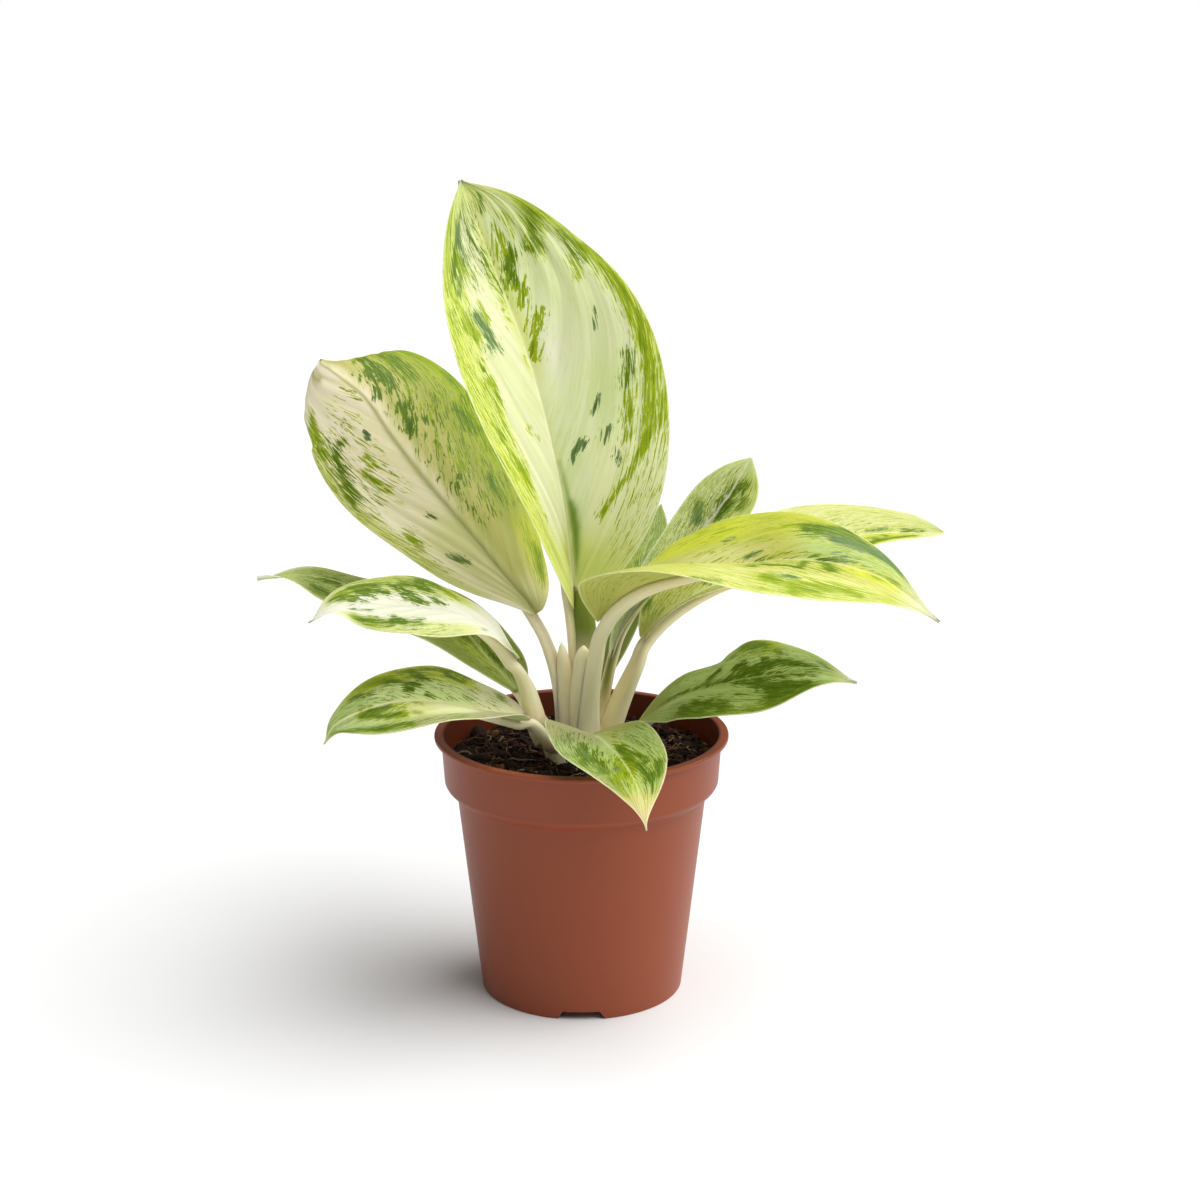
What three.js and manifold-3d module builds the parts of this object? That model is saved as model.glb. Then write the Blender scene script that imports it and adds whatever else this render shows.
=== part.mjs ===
// A potted aglaonema with lime and cream leaves: a plastic nursery pot, its soil, two short stems
// and eleven leaves. Millimetres, +Z up, the viewer stands on the -Y side. The origin lies on the
// ground under the middle of the whole plant's box, so the pot stands a little off it.
import * as THREE from "three";
import { mergeVertices } from "three/addons/utils/BufferGeometryUtils.js";
import Module from "manifold-3d";

// Driving dimensions of the pot
const potAxis = { x: -8, y: 8 };
const potHeight = 109;
const rimRadius = 60;
const lipHeight = 2;
const collarTopRadius = 57.2;
const collarFootRadius = 56;
const collarFootHeight = 89;
const shoulderRadius = 51;
const shoulderHeight = 84;
const shoulderRise = 3.5;
const shoulderInset = 0.8;
const footRadius = 41.4;
const potWall = 1.2;
const floorHeight = 4;
const lipBevel = 0.4;
const lipRounding = 0.5;
const innerFootBevel = 0.6;
const potSides = 60;
const notchCount = 3;
const notchHeight = 3.5;
const notchTopWidth = 15;
const notchFootWidth = 18.6;
const notchOverrun = 1;
const notchCutDepth = 20;
const drainHoleCount = 6;
const drainHoleRadius = 4;
const drainRingRadius = 28;
const drainHoleSides = 16;
const drainDrillLength = 10;

// Driving dimensions of the soil and the stems
const soilHeight = 98;
const soilBump = 0.72;
const soilSides = 40;
const soilTopRings = 7;
const soilCornerRelief = 0.2;
const soilFootRelief = 0.5;
const gap = 0.3;
const stemSides = 12;

// Driving dimensions of every leaf
const bladeThickness = 0.7;
const tipHalfWidth = 0.35;
const firstStation = 0.012;
const lastStation = 0.996;
const lobeFade = 6;
const rightWaveShift = 0.25;
const stalkSides = 8;
const stalkSteps = 7;
const stalkTaperRate = 1.3;
const sheathRings = 5;
const keelReach = 0.8;
const keelTipShare = 0.9;
const keelSink = 0.8;

// How finely curves are sampled
const routeSamples = 200;
const tangentStep = 0.01;
const mergeDistance = 1e-4;

const colours = {
  pot: 0x9a5640,
  soil: 0x1f1713,
  stem: 0xcfc7ad,
  lime: 0xc3d46a,
  mint: 0xb9cf9b,
  cream: 0xe3e3c4,
  shade: 0x7f9a68,
};

// Each leaf is told by where its stalk and its midrib run, which way its upper face looks at the
// base and at the tip (degrees from the viewer towards +X, degrees above the horizon), and its
// outline. Points are measured from the pot's axis on the ground. Widths are half widths, left then
// right, seen from the upper face with the tip up. Fold is the angle each half is raised from flat,
// at the base and at the tip, and how fast it opens. Arch bends each half, lobe carries the base
// corners back past the stalk, wave is the ripple of the margin, and a sheath is the free tip of the
// wing that wraps the foot of the stalk.
const leaves = [
  {
    name: "leaf_tall_centre", colour: "lime", rows: 20, columns: 5,
    stalk: [[1, 4, 100], [0, 4, 120], [-1, 3, 145]], stalkRadii: [3.9, 3.5],
    midrib: [
      [-3, 5, 168], [-7, 9, 203], [-14, 15, 236], [-23, 23, 265], [-35, 30, 294],
      [-48, 31, 329],
    ],
    faces: [[30, -8], [30, 27]], halfWidths: [44.5, 50.5], rise: [0.78, 0.7], fall: 0.78, point: 0.02,
    fold: [49, 21, 2.2], arch: -1, lobe: 9, wave: { size: 1, count: 2.5, start: 0.55 },
  },
  {
    name: "leaf_broad_left", colour: "cream", rows: 18, columns: 5,
    stalk: [[-5, 1, 100], [-7, 1, 120], [-11, 1, 139]], stalkRadii: [3.3, 2.4],
    sheath: [[-5, 0, 112], [-6, 0, 130], [-8, -1, 147]], sheathRadii: [3, 0.5],
    midrib: [
      [-18, 4, 157], [-32, 13, 172], [-48, 21, 190], [-64, 27, 208], [-78, 34, 225],
      [-89, 42, 239], [-103, 52, 248], [-108, 62, 249], [-110, 72, 249],
    ],
    faces: [[37, 48], [-11, 41]], halfWidths: [33, 49.5], rise: [0.72, 0.66], fall: 0.44, point: 0.08,
    fold: [18, -8, 1.8], arch: -38, lobe: 0, wave: { size: 1.1, count: 3, start: 0.1 },
  },
  {
    name: "leaf_white_left", colour: "cream", rows: 14, columns: 4,
    stalk: [[-19, -14, 121], [-22, -14, 134]], stalkRadii: [3.6, 3],
    midrib: [
      [-25, -17, 145], [-35, -22, 158], [-49, -28, 167], [-68, -33, 171], [-92, -38, 173],
      [-105, -45, 168],
    ],
    faces: [[-25, 78], [-47, 41]], halfWidths: [18, 21.5], rise: [0.83, 1.08], fall: 0.83, point: 0.14,
    fold: [28, 7, 2.2], arch: -27, lobe: 0, wave: { size: 0.8, count: 3, start: 0.41 },
  },
  {
    name: "leaf_low_left", colour: "mint", rows: 14, columns: 4,
    stalk: [[-14, -15, 110], [-19, -20, 119]], stalkRadii: [2.4, 1.9],
    midrib: [
      [-24, -22, 121], [-40, -29, 127], [-58, -36, 133], [-76, -42, 134], [-94, -47, 128],
      [-100, -50, 120],
    ],
    faces: [[-14, 86], [-44, 39]], halfWidths: [24.5, 21], rise: [0.61, 0.45], fall: 0.7, point: 0.13,
    fold: [33, 4, 1.1], arch: -14, lobe: 3, wave: { size: 0.5, count: 2.5, start: 0.09 },
  },
  {
    name: "leaf_shaded_left", colour: "shade", rows: 14, columns: 4,
    stalk: [[-18, -9, 112], [-22, -4, 119]], stalkRadii: [2.2, 1.8],
    midrib: [
      [-26, 2, 126], [-37, 11, 136], [-54, 21, 151], [-79, 29, 157], [-112, 40, 164],
      [-136, 43, 162],
    ],
    faces: [[-22, 66], [-32, 77]], halfWidths: [18.5, 14], rise: [0.86, 0.43], fall: 0.94, point: 0.11,
    fold: [22, 8, 2.2], arch: -17, lobe: 1, wave: { size: 1.7, count: 2.5, start: 0.86 },
  },
  {
    name: "leaf_lime_right", colour: "lime", rows: 20, columns: 5,
    stalk: [[3, -6, 100], [3, -7, 120], [5, -8, 142]], stalkRadii: [3.5, 3.1],
    sheath: [[2, -6, 108], [1, -7, 130], [1, -8, 148]], sheathRadii: [3, 1],
    midrib: [
      [8, -9, 159], [21, -21, 175], [40, -28, 183], [64, -34, 188], [88, -39, 191],
      [115, -42, 185], [139, -42, 167],
    ],
    faces: [[5, 94], [50, 37]], halfWidths: [32, 44], rise: [1.07, 0.95], fall: 1.28, point: 0.08,
    fold: [43, 7, 0.6], arch: -36, lobe: 2, wave: { size: 0.8, count: 2, start: 0.36 },
  },
  {
    name: "leaf_far_right", colour: "cream", rows: 14, columns: 4,
    stalk: [[8, 4, 100], [15, 6, 118], [22, 8, 135]], stalkRadii: [3.5, 3],
    midrib: [
      [26, 14, 145], [38, 22, 155], [56, 30, 163], [79, 38, 168], [115, 52, 178],
      [153, 58, 178],
    ],
    faces: [[21, 73], [25, 76]], halfWidths: [25.5, 16], rise: [0.66, 0.48], fall: 0.59, point: 0.02,
    fold: [56, 10, 2], arch: -6, lobe: 2, wave: { size: 0.8, count: 2.5, start: 0.8 },
  },
  {
    name: "leaf_upright_right", colour: "mint", rows: 14, columns: 4,
    stalk: [[6, 6, 100], [8, 7, 115]], stalkRadii: [2.6, 2.2],
    midrib: [
      [13, 8, 141], [19, 10, 154], [29, 12, 167], [44, 17, 183], [58, 21, 200], [69, 23, 218],
    ],
    faces: [[-7, 37], [2, 28]], halfWidths: [15, 15.5], rise: [0.7, 1.09], fall: 0.2, point: 0.11,
    fold: [71, 12, 0.6], arch: -1, lobe: 4, wave: { size: 0.6, count: 2, start: 0.5 },
  },
  {
    name: "leaf_low_right", colour: "mint", rows: 14, columns: 4,
    stalk: [[9, -4, 100], [16, -5, 108]], stalkRadii: [2.5, 1.9],
    midrib: [
      [24, -7, 116], [39, -15, 128], [52, -23, 135], [67, -30, 141], [90, -37, 145],
      [108, -40, 142],
    ],
    faces: [[24, 72], [25, 41]], halfWidths: [22.5, 19.5], rise: [0.94, 0.79], fall: 1.08, point: 0.11,
    fold: [19, 4, 2.2], arch: -21, lobe: 3, wave: { size: 1, count: 2.5, start: 0.9 },
  },
  {
    name: "leaf_slim_back", colour: "shade", rows: 12, columns: 3,
    stalk: [[3, 9, 100], [5, 11, 112]], stalkRadii: [2.2, 1.8],
    midrib: [
      [8, 16, 124], [14, 22, 140], [20, 29, 157], [26, 36, 173], [31, 40, 184], [33, 43, 194],
    ],
    faces: [[8, 10], [-3, 21]], halfWidths: [8, 7], rise: [0.7, 0.7], fall: 0.56, point: 0.05,
    fold: [30, 10, 2], arch: -5, lobe: 0, wave: { size: 0.3, count: 2, start: 0 },
  },
  {
    name: "leaf_front", colour: "mint", rows: 14, columns: 4,
    stalk: [[3, -8, 101], [3, -15, 110]], stalkRadii: [2.3, 1.8],
    midrib: [
      [3, -24, 115], [7, -40, 120], [14, -58, 119], [20, -74, 115], [23, -84, 109],
      [25, -92, 100],
    ],
    faces: [[21, 73], [16, 21]], halfWidths: [19, 22.5], rise: [0.8, 0.5], fall: 1, point: 0.17,
    fold: [30, 0, 2.2], arch: -4, lobe: 8, wave: { size: 0.7, count: 2.5, start: 0.49 },
  },
];

// Stems stand in the soil; points from the pot's axis, with a radius at each end
const stems = [
  {
    name: "stem_main", radii: [6, 3], rings: 6,
    route: [[3, 1, 86], [3, 1, 100], [3, 2, 128]],
  },
  {
    name: "stem_left", radii: [4, 3.4], rings: 8,
    route: [[-9, -12, 86], [-10, -12, 100], [-14, -13, 112], [-19, -14, 121]],
  },
];

const wasm = await Module();
wasm.setup();

function material(colour, roughness) {
  return new THREE.MeshStandardMaterial({ color: colour, roughness, metalness: 0 });
}

function vector(point) {
  return new THREE.Vector3(...point);
}

// A closed triangle mesh as a solid that can be cut and joined
function toSolid(geometry) {
  const bare = geometry.clone();
  bare.deleteAttribute("normal");
  bare.deleteAttribute("uv");
  const merged = mergeVertices(bare, mergeDistance);
  return new wasm.Manifold(new wasm.Mesh({
    numProp: 3,
    vertProperties: new Float32Array(merged.attributes.position.array),
    triVerts: new Uint32Array(merged.index.array),
  }));
}

function toGeometry(solid) {
  const mesh = solid.getMesh();
  const geometry = new THREE.BufferGeometry();
  geometry.setAttribute("position", new THREE.BufferAttribute(new Float32Array(mesh.vertProperties), 3));
  geometry.setIndex(new THREE.BufferAttribute(new Uint32Array(mesh.triVerts), 1));
  geometry.computeVertexNormals();
  return geometry;
}

// The biggest body of a solid, without the scraps that a cut leaves
function mainBody(solid) {
  const bodies = solid.decompose();
  return bodies.reduce((best, body) => (body.volume() > best.volume() ? body : best));
}

function indexedGeometry(points, triangles) {
  const geometry = new THREE.BufferGeometry();
  const flat = points.flatMap((point) => [point.x, point.y, point.z]);
  geometry.setAttribute("position", new THREE.Float32BufferAttribute(flat, 3));
  geometry.setIndex(triangles);
  return geometry;
}

// Closed tube through rings of points, each ring with the same count, ends closed by fans
function ringTube(rings) {
  const sides = rings[0].length;
  const points = rings.flat();
  const triangles = [];
  for (let ring = 0; ring < rings.length - 1; ring += 1) {
    for (let side = 0; side < sides; side += 1) {
      const next = (side + 1) % sides;
      const a = ring * sides + side;
      const b = ring * sides + next;
      triangles.push(a, b, b + sides, a, b + sides, a + sides);
    }
  }
  const last = (rings.length - 1) * sides;
  for (let side = 1; side < sides - 1; side += 1) {
    triangles.push(0, side + 1, side);
    triangles.push(last, last + side, last + side + 1);
  }
  return indexedGeometry(points, triangles);
}

function smoothCurve(points) {
  return new THREE.CatmullRomCurve3(points.map(vector), false, "catmullrom", 0.5);
}

// Tube of round section whose radius runs evenly from one end to the other
function taperedTube(centres, tangents, sideways, radii, sides) {
  const rings = centres.map((centre, index) => {
    const tangent = tangents[index];
    const lean = sideways[index].dot(tangent);
    const across = sideways[index].clone().addScaledVector(tangent, -lean).normalize();
    const up = across.clone().cross(tangent);
    return Array.from({ length: sides }, (_, side) => {
      const angle = (2 * Math.PI * (side + 0.5)) / sides;
      return centre.clone()
        .addScaledVector(across, radii[index] * Math.cos(angle))
        .addScaledVector(up, -radii[index] * Math.sin(angle));
    });
  });
  return ringTube(rings);
}

// Round tube along a route, thinning evenly, with every face moved out by the swell
function routeTube(route, endRadii, ringCount, sides, swell) {
  const curve = smoothCurve(route);
  const steps = Array.from({ length: ringCount }, (_, index) => index / (ringCount - 1));
  const centres = steps.map((step) => curve.getPoint(step));
  const tangents = steps.map((step) => curve.getTangent(step));
  if (swell > 0) {
    centres[0].addScaledVector(tangents[0], -swell);
    centres[centres.length - 1].addScaledVector(tangents[tangents.length - 1], swell);
  }
  const radii = steps.map((step) => THREE.MathUtils.lerp(endRadii[0], endRadii[1], step) + swell);
  const sideways = steps.map(() => new THREE.Vector3(1, 0, 0));
  return taperedTube(centres, tangents, sideways, radii, sides);
}

function stemGeometry(stem, swell) {
  return routeTube(stem.route, stem.radii, stem.rings, stemSides, swell);
}

function faceDirection([azimuth, elevation]) {
  const turn = THREE.MathUtils.degToRad(azimuth);
  const rise = THREE.MathUtils.degToRad(elevation);
  const level = Math.cos(rise);
  return new THREE.Vector3(Math.sin(turn) * level, -Math.cos(turn) * level, Math.sin(rise));
}

// Half width along the blade as a share of the widest place: round base, pointed tip
function outlineShare(u, rise, fall, point) {
  const raw = (x) => x ** rise * (1 - x) ** fall * (1 - Math.exp(-(1 - x) / point));
  let widest = 0;
  for (let step = 1; step < routeSamples; step += 1) {
    widest = Math.max(widest, raw(step / routeSamples));
  }
  return raw(u) / widest;
}

// Midrib stations from base to tip: place, direction, upper face and sideways direction
function bladeStations(leaf) {
  const points = [...leaf.stalk, ...leaf.midrib];
  const curve = smoothCurve(points);
  const baseShare = leaf.stalk.length / (points.length - 1);
  const fine = Array.from({ length: routeSamples + 1 }, (_, index) => {
    return curve.getPoint(THREE.MathUtils.lerp(baseShare, 1, index / routeSamples));
  });
  const lengths = [0];
  for (let index = 1; index < fine.length; index += 1) {
    lengths.push(lengths[index - 1] + fine[index].distanceTo(fine[index - 1]));
  }
  const whole = lengths[lengths.length - 1];
  const placeAt = (u) => {
    const target = Math.min(Math.max(u, 0), 1) * whole;
    let index = 1;
    while (index < lengths.length - 1 && lengths[index] < target) index += 1;
    const share = (target - lengths[index - 1]) / (lengths[index] - lengths[index - 1]);
    return fine[index - 1].clone().lerp(fine[index], share);
  };
  const faceAtBase = faceDirection(leaf.faces[0]);
  const faceAtTip = faceDirection(leaf.faces[1]);
  return Array.from({ length: leaf.rows }, (_, row) => {
    const even = row / (leaf.rows - 1);
    const eased = (1 - Math.cos(Math.PI * even)) / 2;
    const u = THREE.MathUtils.lerp(firstStation, lastStation, (even + eased) / 2);
    const tangent = placeAt(u + tangentStep).sub(placeAt(u - tangentStep)).normalize();
    const face = faceAtBase.clone().lerp(faceAtTip, u);
    const normal = face.addScaledVector(tangent, -face.dot(tangent)).normalize();
    return { u, place: placeAt(u), tangent, normal, sideways: tangent.clone().cross(normal) };
  });
}

// One point of the upper face and of the under face; side is -1 or 1, out runs 0 to 1 to the margin
function bladePoints(leaf, station, side, out) {
  const { u, place, tangent, normal, sideways } = station;
  const half = side < 0 ? 0 : 1;
  const share = outlineShare(u, leaf.rise[half], leaf.fall, leaf.point);
  const reach = leaf.halfWidths[half] * share + tipHalfWidth;
  const [baseFold, tipFold, opening] = leaf.fold;
  const fold = THREE.MathUtils.degToRad(tipFold + (baseFold - tipFold) * (1 - u) ** opening);
  const arch = THREE.MathUtils.degToRad(leaf.arch);
  const slope = fold + arch * out;
  const across = (reach * (Math.sin(slope) - Math.sin(fold))) / arch;
  const lift = (reach * (Math.cos(fold) - Math.cos(slope))) / arch;
  const phase = leaf.wave.start + (side > 0 ? rightWaveShift : 0);
  const ripple = leaf.wave.size * out ** 2 * Math.sin(2 * Math.PI * (leaf.wave.count * u + phase));
  const upper = place.clone()
    .addScaledVector(sideways, side * across)
    .addScaledVector(normal, lift + ripple)
    .addScaledVector(tangent, -leaf.lobe * out ** 2 * (1 - u) ** lobeFade);
  if (out === 0) {
    return [upper, upper.clone().addScaledVector(normal, -bladeThickness / Math.cos(fold))];
  }
  const under = upper.clone()
    .addScaledVector(normal, -bladeThickness * Math.cos(slope))
    .addScaledVector(sideways, bladeThickness * side * Math.sin(slope));
  return [upper, under];
}

// Thin closed blade, split into triangles alike on both faces
function bladeGeometry(leaf, stations) {
  const width = 2 * leaf.columns + 1;
  const upperPoints = [];
  const underPoints = [];
  for (const station of stations) {
    for (let column = -leaf.columns; column <= leaf.columns; column += 1) {
      const side = column < 0 ? -1 : 1;
      const [upper, under] = bladePoints(leaf, station, side, Math.abs(column) / leaf.columns);
      upperPoints.push(upper);
      underPoints.push(under);
    }
  }
  const under = upperPoints.length;
  const triangles = [];
  const wall = (a, b) => triangles.push(a, a + under, b + under, a, b + under, b);
  for (let row = 0; row < stations.length - 1; row += 1) {
    for (let column = 0; column < width - 1; column += 1) {
      const a = row * width + column;
      const b = a + 1;
      const c = a + width;
      const d = c + 1;
      triangles.push(a, b, d, a, d, c);
      triangles.push(a + under, d + under, b + under, a + under, c + under, d + under);
    }
    wall((row + 1) * width, row * width);
    wall(row * width + width - 1, (row + 1) * width + width - 1);
  }
  const last = (stations.length - 1) * width;
  for (let column = 0; column < width - 1; column += 1) {
    wall(column, column + 1);
    wall(last + column + 1, last + column);
  }
  return indexedGeometry([...upperPoints, ...underPoints], triangles);
}

// Stalk that runs on under the blade as a thinning keel
function stalkGeometry(leaf, stations, swell, withKeel) {
  const points = [...leaf.stalk, ...leaf.midrib];
  const curve = smoothCurve(points);
  const baseShare = leaf.stalk.length / (points.length - 1);
  const centres = [];
  const tangents = [];
  const sideways = [];
  const radii = [];
  const [rootRadius, neckRadius] = leaf.stalkRadii;
  const sunk = neckRadius + bladeThickness;
  for (let step = 0; step < stalkSteps; step += 1) {
    const share = step / stalkSteps;
    const drop = sunk * share ** 3;
    centres.push(curve.getPoint(baseShare * share).addScaledVector(stations[0].normal, -drop));
    tangents.push(curve.getTangent(baseShare * share));
    sideways.push(stations[0].sideways);
    const taper = Math.min(1, share * stalkTaperRate);
    radii.push(THREE.MathUtils.lerp(rootRadius, neckRadius, taper) + swell);
  }
  for (const station of withKeel ? stations : stations.slice(0, 1)) {
    if (station.u > keelReach) break;
    const radius = neckRadius * (1 - station.u / keelTipShare);
    const depth = radius * keelSink + bladeThickness;
    centres.push(station.place.clone().addScaledVector(station.normal, -depth));
    tangents.push(station.tangent);
    sideways.push(station.sideways);
    radii.push(radius + swell);
  }
  return taperedTube(centres, tangents, sideways, radii, stalkSides);
}

// Pot: one turned section, closed on itself, with notches in the foot and drain holes in the floor
function potGeometry() {
  const lipFoot = potHeight - lipHeight;
  const section = [
    [0, floorHeight],
    [footRadius - potWall, floorHeight],
    [footRadius - potWall, 0],
    [footRadius, 0],
    [shoulderRadius, shoulderHeight],
    [collarFootRadius - shoulderInset, shoulderHeight + shoulderRise],
    [collarFootRadius, collarFootHeight],
    [collarTopRadius, lipFoot],
    [rimRadius - lipBevel, lipFoot],
    [rimRadius, lipFoot + lipRounding],
    [rimRadius, potHeight - lipRounding],
    [rimRadius - lipBevel, potHeight],
    [collarTopRadius - potWall, potHeight],
    [collarFootRadius - potWall, collarFootHeight],
    [shoulderRadius - potWall, shoulderHeight + lipRounding],
    [footRadius - potWall + innerFootBevel, floorHeight + potWall],
    [0, floorHeight + potWall],
  ];
  const outline = section.map(([radius, height]) => new THREE.Vector2(radius, height));
  const turned = new THREE.LatheGeometry(outline, potSides);
  turned.rotateX(Math.PI / 2);
  let pot = toSolid(turned);
  for (let index = 0; index < notchCount; index += 1) {
    const notch = new THREE.Shape([
      new THREE.Vector2(-notchFootWidth / 2 - notchOverrun, -notchOverrun),
      new THREE.Vector2(notchFootWidth / 2 + notchOverrun, -notchOverrun),
      new THREE.Vector2(notchTopWidth / 2, notchHeight),
      new THREE.Vector2(-notchTopWidth / 2, notchHeight),
    ]);
    const cutter = new THREE.ExtrudeGeometry(notch, { depth: notchCutDepth, bevelEnabled: false });
    cutter.rotateX(Math.PI / 2);
    cutter.translate(0, -footRadius + notchCutDepth / 2, 0);
    cutter.rotateZ((index * 2 * Math.PI) / notchCount);
    pot = pot.subtract(toSolid(cutter));
  }
  for (let index = 0; index < drainHoleCount; index += 1) {
    const angle = ((index + 0.5) * 2 * Math.PI) / drainHoleCount;
    const drill = new THREE.CylinderGeometry(
      drainHoleRadius, drainHoleRadius, drainDrillLength, drainHoleSides,
    );
    drill.rotateX(Math.PI / 2);
    drill.translate(drainRingRadius * Math.cos(angle), drainRingRadius * Math.sin(angle), floorHeight);
    pot = pot.subtract(toSolid(drill));
  }
  return toGeometry(pot);
}

function soilSurface(x, y) {
  const waves = Math.sin(x * 0.23 + 1) * Math.cos(y * 0.19) + 0.6 * Math.sin(x * 0.41 - y * 0.37 + 2);
  return soilHeight + soilBump * waves;
}

// Soil: fills the pot from its floor up, with an uneven top
function soilGeometry() {
  const wallInside = potWall + gap;
  const collarShare = (soilHeight - collarFootHeight) / (potHeight - lipHeight - collarFootHeight);
  const topRadius = THREE.MathUtils.lerp(collarFootRadius, collarTopRadius, collarShare) - wallInside;
  const bottomHeight = floorHeight + potWall + gap;
  const rings = [];
  for (let ring = 1; ring <= soilTopRings; ring += 1) {
    rings.push([(topRadius * ring) / soilTopRings, null]);
  }
  rings.push(
    [collarFootRadius - wallInside - soilCornerRelief, collarFootHeight],
    [shoulderRadius - wallInside, shoulderHeight + shoulderInset],
    [footRadius - wallInside + soilFootRelief, bottomHeight],
  );
  const points = [new THREE.Vector3(0, 0, soilSurface(0, 0))];
  for (const [radius, height] of rings) {
    for (let side = 0; side < soilSides; side += 1) {
      const angle = (2 * Math.PI * side) / soilSides;
      const x = radius * Math.cos(angle);
      const y = radius * Math.sin(angle);
      points.push(new THREE.Vector3(x, y, height === null ? soilSurface(x, y) : height));
    }
  }
  points.push(new THREE.Vector3(0, 0, bottomHeight));
  const triangles = [];
  const bottom = points.length - 1;
  for (let side = 0; side < soilSides; side += 1) {
    const next = (side + 1) % soilSides;
    triangles.push(0, 1 + side, 1 + next);
    for (let ring = 0; ring < rings.length - 1; ring += 1) {
      const a = 1 + ring * soilSides + side;
      const b = 1 + ring * soilSides + next;
      triangles.push(a, a + soilSides, b + soilSides, a, b + soilSides, b);
    }
    const lastRing = 1 + (rings.length - 1) * soilSides;
    triangles.push(lastRing + side, bottom, lastRing + next);
  }
  return indexedGeometry(points, triangles);
}

const plant = new THREE.Group();
plant.position.set(potAxis.x, potAxis.y, 0);

function addPiece(name, geometry, colour, roughness) {
  const mesh = new THREE.Mesh(geometry, material(colour, roughness));
  mesh.name = name;
  plant.add(mesh);
}

addPiece("pot", potGeometry(), colours.pot, 0.5);

// The stems with a skin of clear space round them, which nothing else may enter
const stemRooms = stems.map((stem) => toSolid(stemGeometry(stem, gap)));
let soil = toSolid(soilGeometry());
for (const room of stemRooms) {
  soil = soil.subtract(room);
}
addPiece("soil", toGeometry(soil), colours.soil, 1);
for (const stem of stems) {
  addPiece(stem.name, stemGeometry(stem, 0), colours.stem, 0.5);
}

// Each stalk gives way to the stems and to the stalks that were placed before it
const takenRooms = [...stemRooms];
for (const leaf of leaves) {
  const stations = bladeStations(leaf);
  let stalk = toSolid(stalkGeometry(leaf, stations, 0, true));
  if (leaf.sheath) {
    stalk = stalk.add(toSolid(routeTube(leaf.sheath, leaf.sheathRadii, sheathRings, stalkSides, 0)));
  }
  for (const room of takenRooms) {
    stalk = stalk.subtract(room);
  }
  const blade = toSolid(bladeGeometry(leaf, stations));
  addPiece(leaf.name, toGeometry(mainBody(stalk.add(blade))), colours[leaf.colour], 0.45);
  takenRooms.push(toSolid(stalkGeometry(leaf, stations, gap, false)));
  if (leaf.sheath) {
    takenRooms.push(toSolid(routeTube(leaf.sheath, leaf.sheathRadii, sheathRings, stalkSides, gap)));
  }
}

export default plant;
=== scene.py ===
# A potted aglaonema with lime and cream leaves, dressed round its plain solids
import math
import bpy
import numpy as np
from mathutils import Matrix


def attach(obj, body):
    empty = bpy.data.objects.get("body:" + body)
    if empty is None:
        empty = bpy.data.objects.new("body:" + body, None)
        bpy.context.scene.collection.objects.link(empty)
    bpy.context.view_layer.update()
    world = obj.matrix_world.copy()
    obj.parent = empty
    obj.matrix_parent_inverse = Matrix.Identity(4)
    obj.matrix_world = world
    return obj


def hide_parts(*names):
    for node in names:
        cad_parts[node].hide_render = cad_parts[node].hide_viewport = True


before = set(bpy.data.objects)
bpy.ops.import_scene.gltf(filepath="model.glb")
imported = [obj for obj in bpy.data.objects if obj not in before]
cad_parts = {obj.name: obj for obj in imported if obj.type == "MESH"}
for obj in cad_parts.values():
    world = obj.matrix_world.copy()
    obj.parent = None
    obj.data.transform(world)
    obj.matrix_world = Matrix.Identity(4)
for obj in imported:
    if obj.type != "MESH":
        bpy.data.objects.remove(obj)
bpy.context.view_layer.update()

# Places are millimetres from the pot's axis on the ground, and the frame has that axis here
MM = 0.001
POT_AXIS = np.array([-8.0, 8.0, 0.0])
TURN = 2 * math.pi

# The camera stands where the photographer stood
CAMERA_DISTANCE = 1063
CAMERA_ELEVATION = math.radians(15.32)
CAMERA_TARGET = np.array([7.55, 0.0, 164.4])
FOCAL_SHARE = 2643 / 1200
SENSOR_WIDTH = 36.0

# Colours as seen on a screen, in percent of red, green and blue
PALETTE = dict(
    white=(86, 85, 79), ivory=(86, 83, 72), bone=(100, 94.5, 80), straw=(88, 85, 67),
    shell=(92, 87, 77), pearl=(80, 80, 66), butter=(80, 80, 54), citron=(74, 74, 40),
    taupe=(66, 63, 50), cream=(88, 88, 70), mint=(80, 85, 62), celadon=(68, 75, 48),
    sage=(69, 72, 42), khaki=(70, 69, 36), lemon=(78, 80, 46), lime=(75, 77, 20),
    olive=(58, 60, 24), moss=(45, 51, 16), fern=(44, 55, 13), vivid=(56, 63, 5),
    green=(37, 48, 3), slate=(40, 50, 30), dark=(24, 36, 4), peach=(88, 76, 60),
    pot=(55, 25.2, 12.5), soil=(14, 8.5, 5), fibre=(42, 27, 17), bark=(20, 11, 8),
    chalk=(62, 55, 46),
)
# These three lie on a blade as crisp flecks; any other colour of the palette is a soft tint
MARKS = ["vivid", "green", "slate"]

# How every blade is built, as in the plain solids
BLADE_THICKNESS = 0.7
EDGE_THICKNESS = 0.35
TIP_HALF_WIDTH = 0.35
LOBE_FADE = 6
RIGHT_WAVE_SHIFT = 0.25
TANGENT_STEP = 0.01
# Stalk and keel: how far they reach, how they taper, their rings, sides and groove
ROOT_DEPTH = 6.0
STALK_TAPER_RATE = 1.3
KEEL_START = 0.012
KEEL_REACH = 0.8
KEEL_TIP_SHARE = 0.9
KEEL_SINK = 0.93
STALK_RINGS = 36
KEEL_RINGS = 60
STALK_SIDES = 28
GROOVE_DEPTH = 0.42
GROOVE_HALF_ANGLE = 0.55
# A side vein leaves the midrib at a slant and swings towards the tip
VEIN_SLANT = 0.45
# Blades narrower than this have a finer grain, and the grain of the two halves lies apart
COARSE_HALF_WIDTH = 46
HALVES_APART = 300
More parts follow.
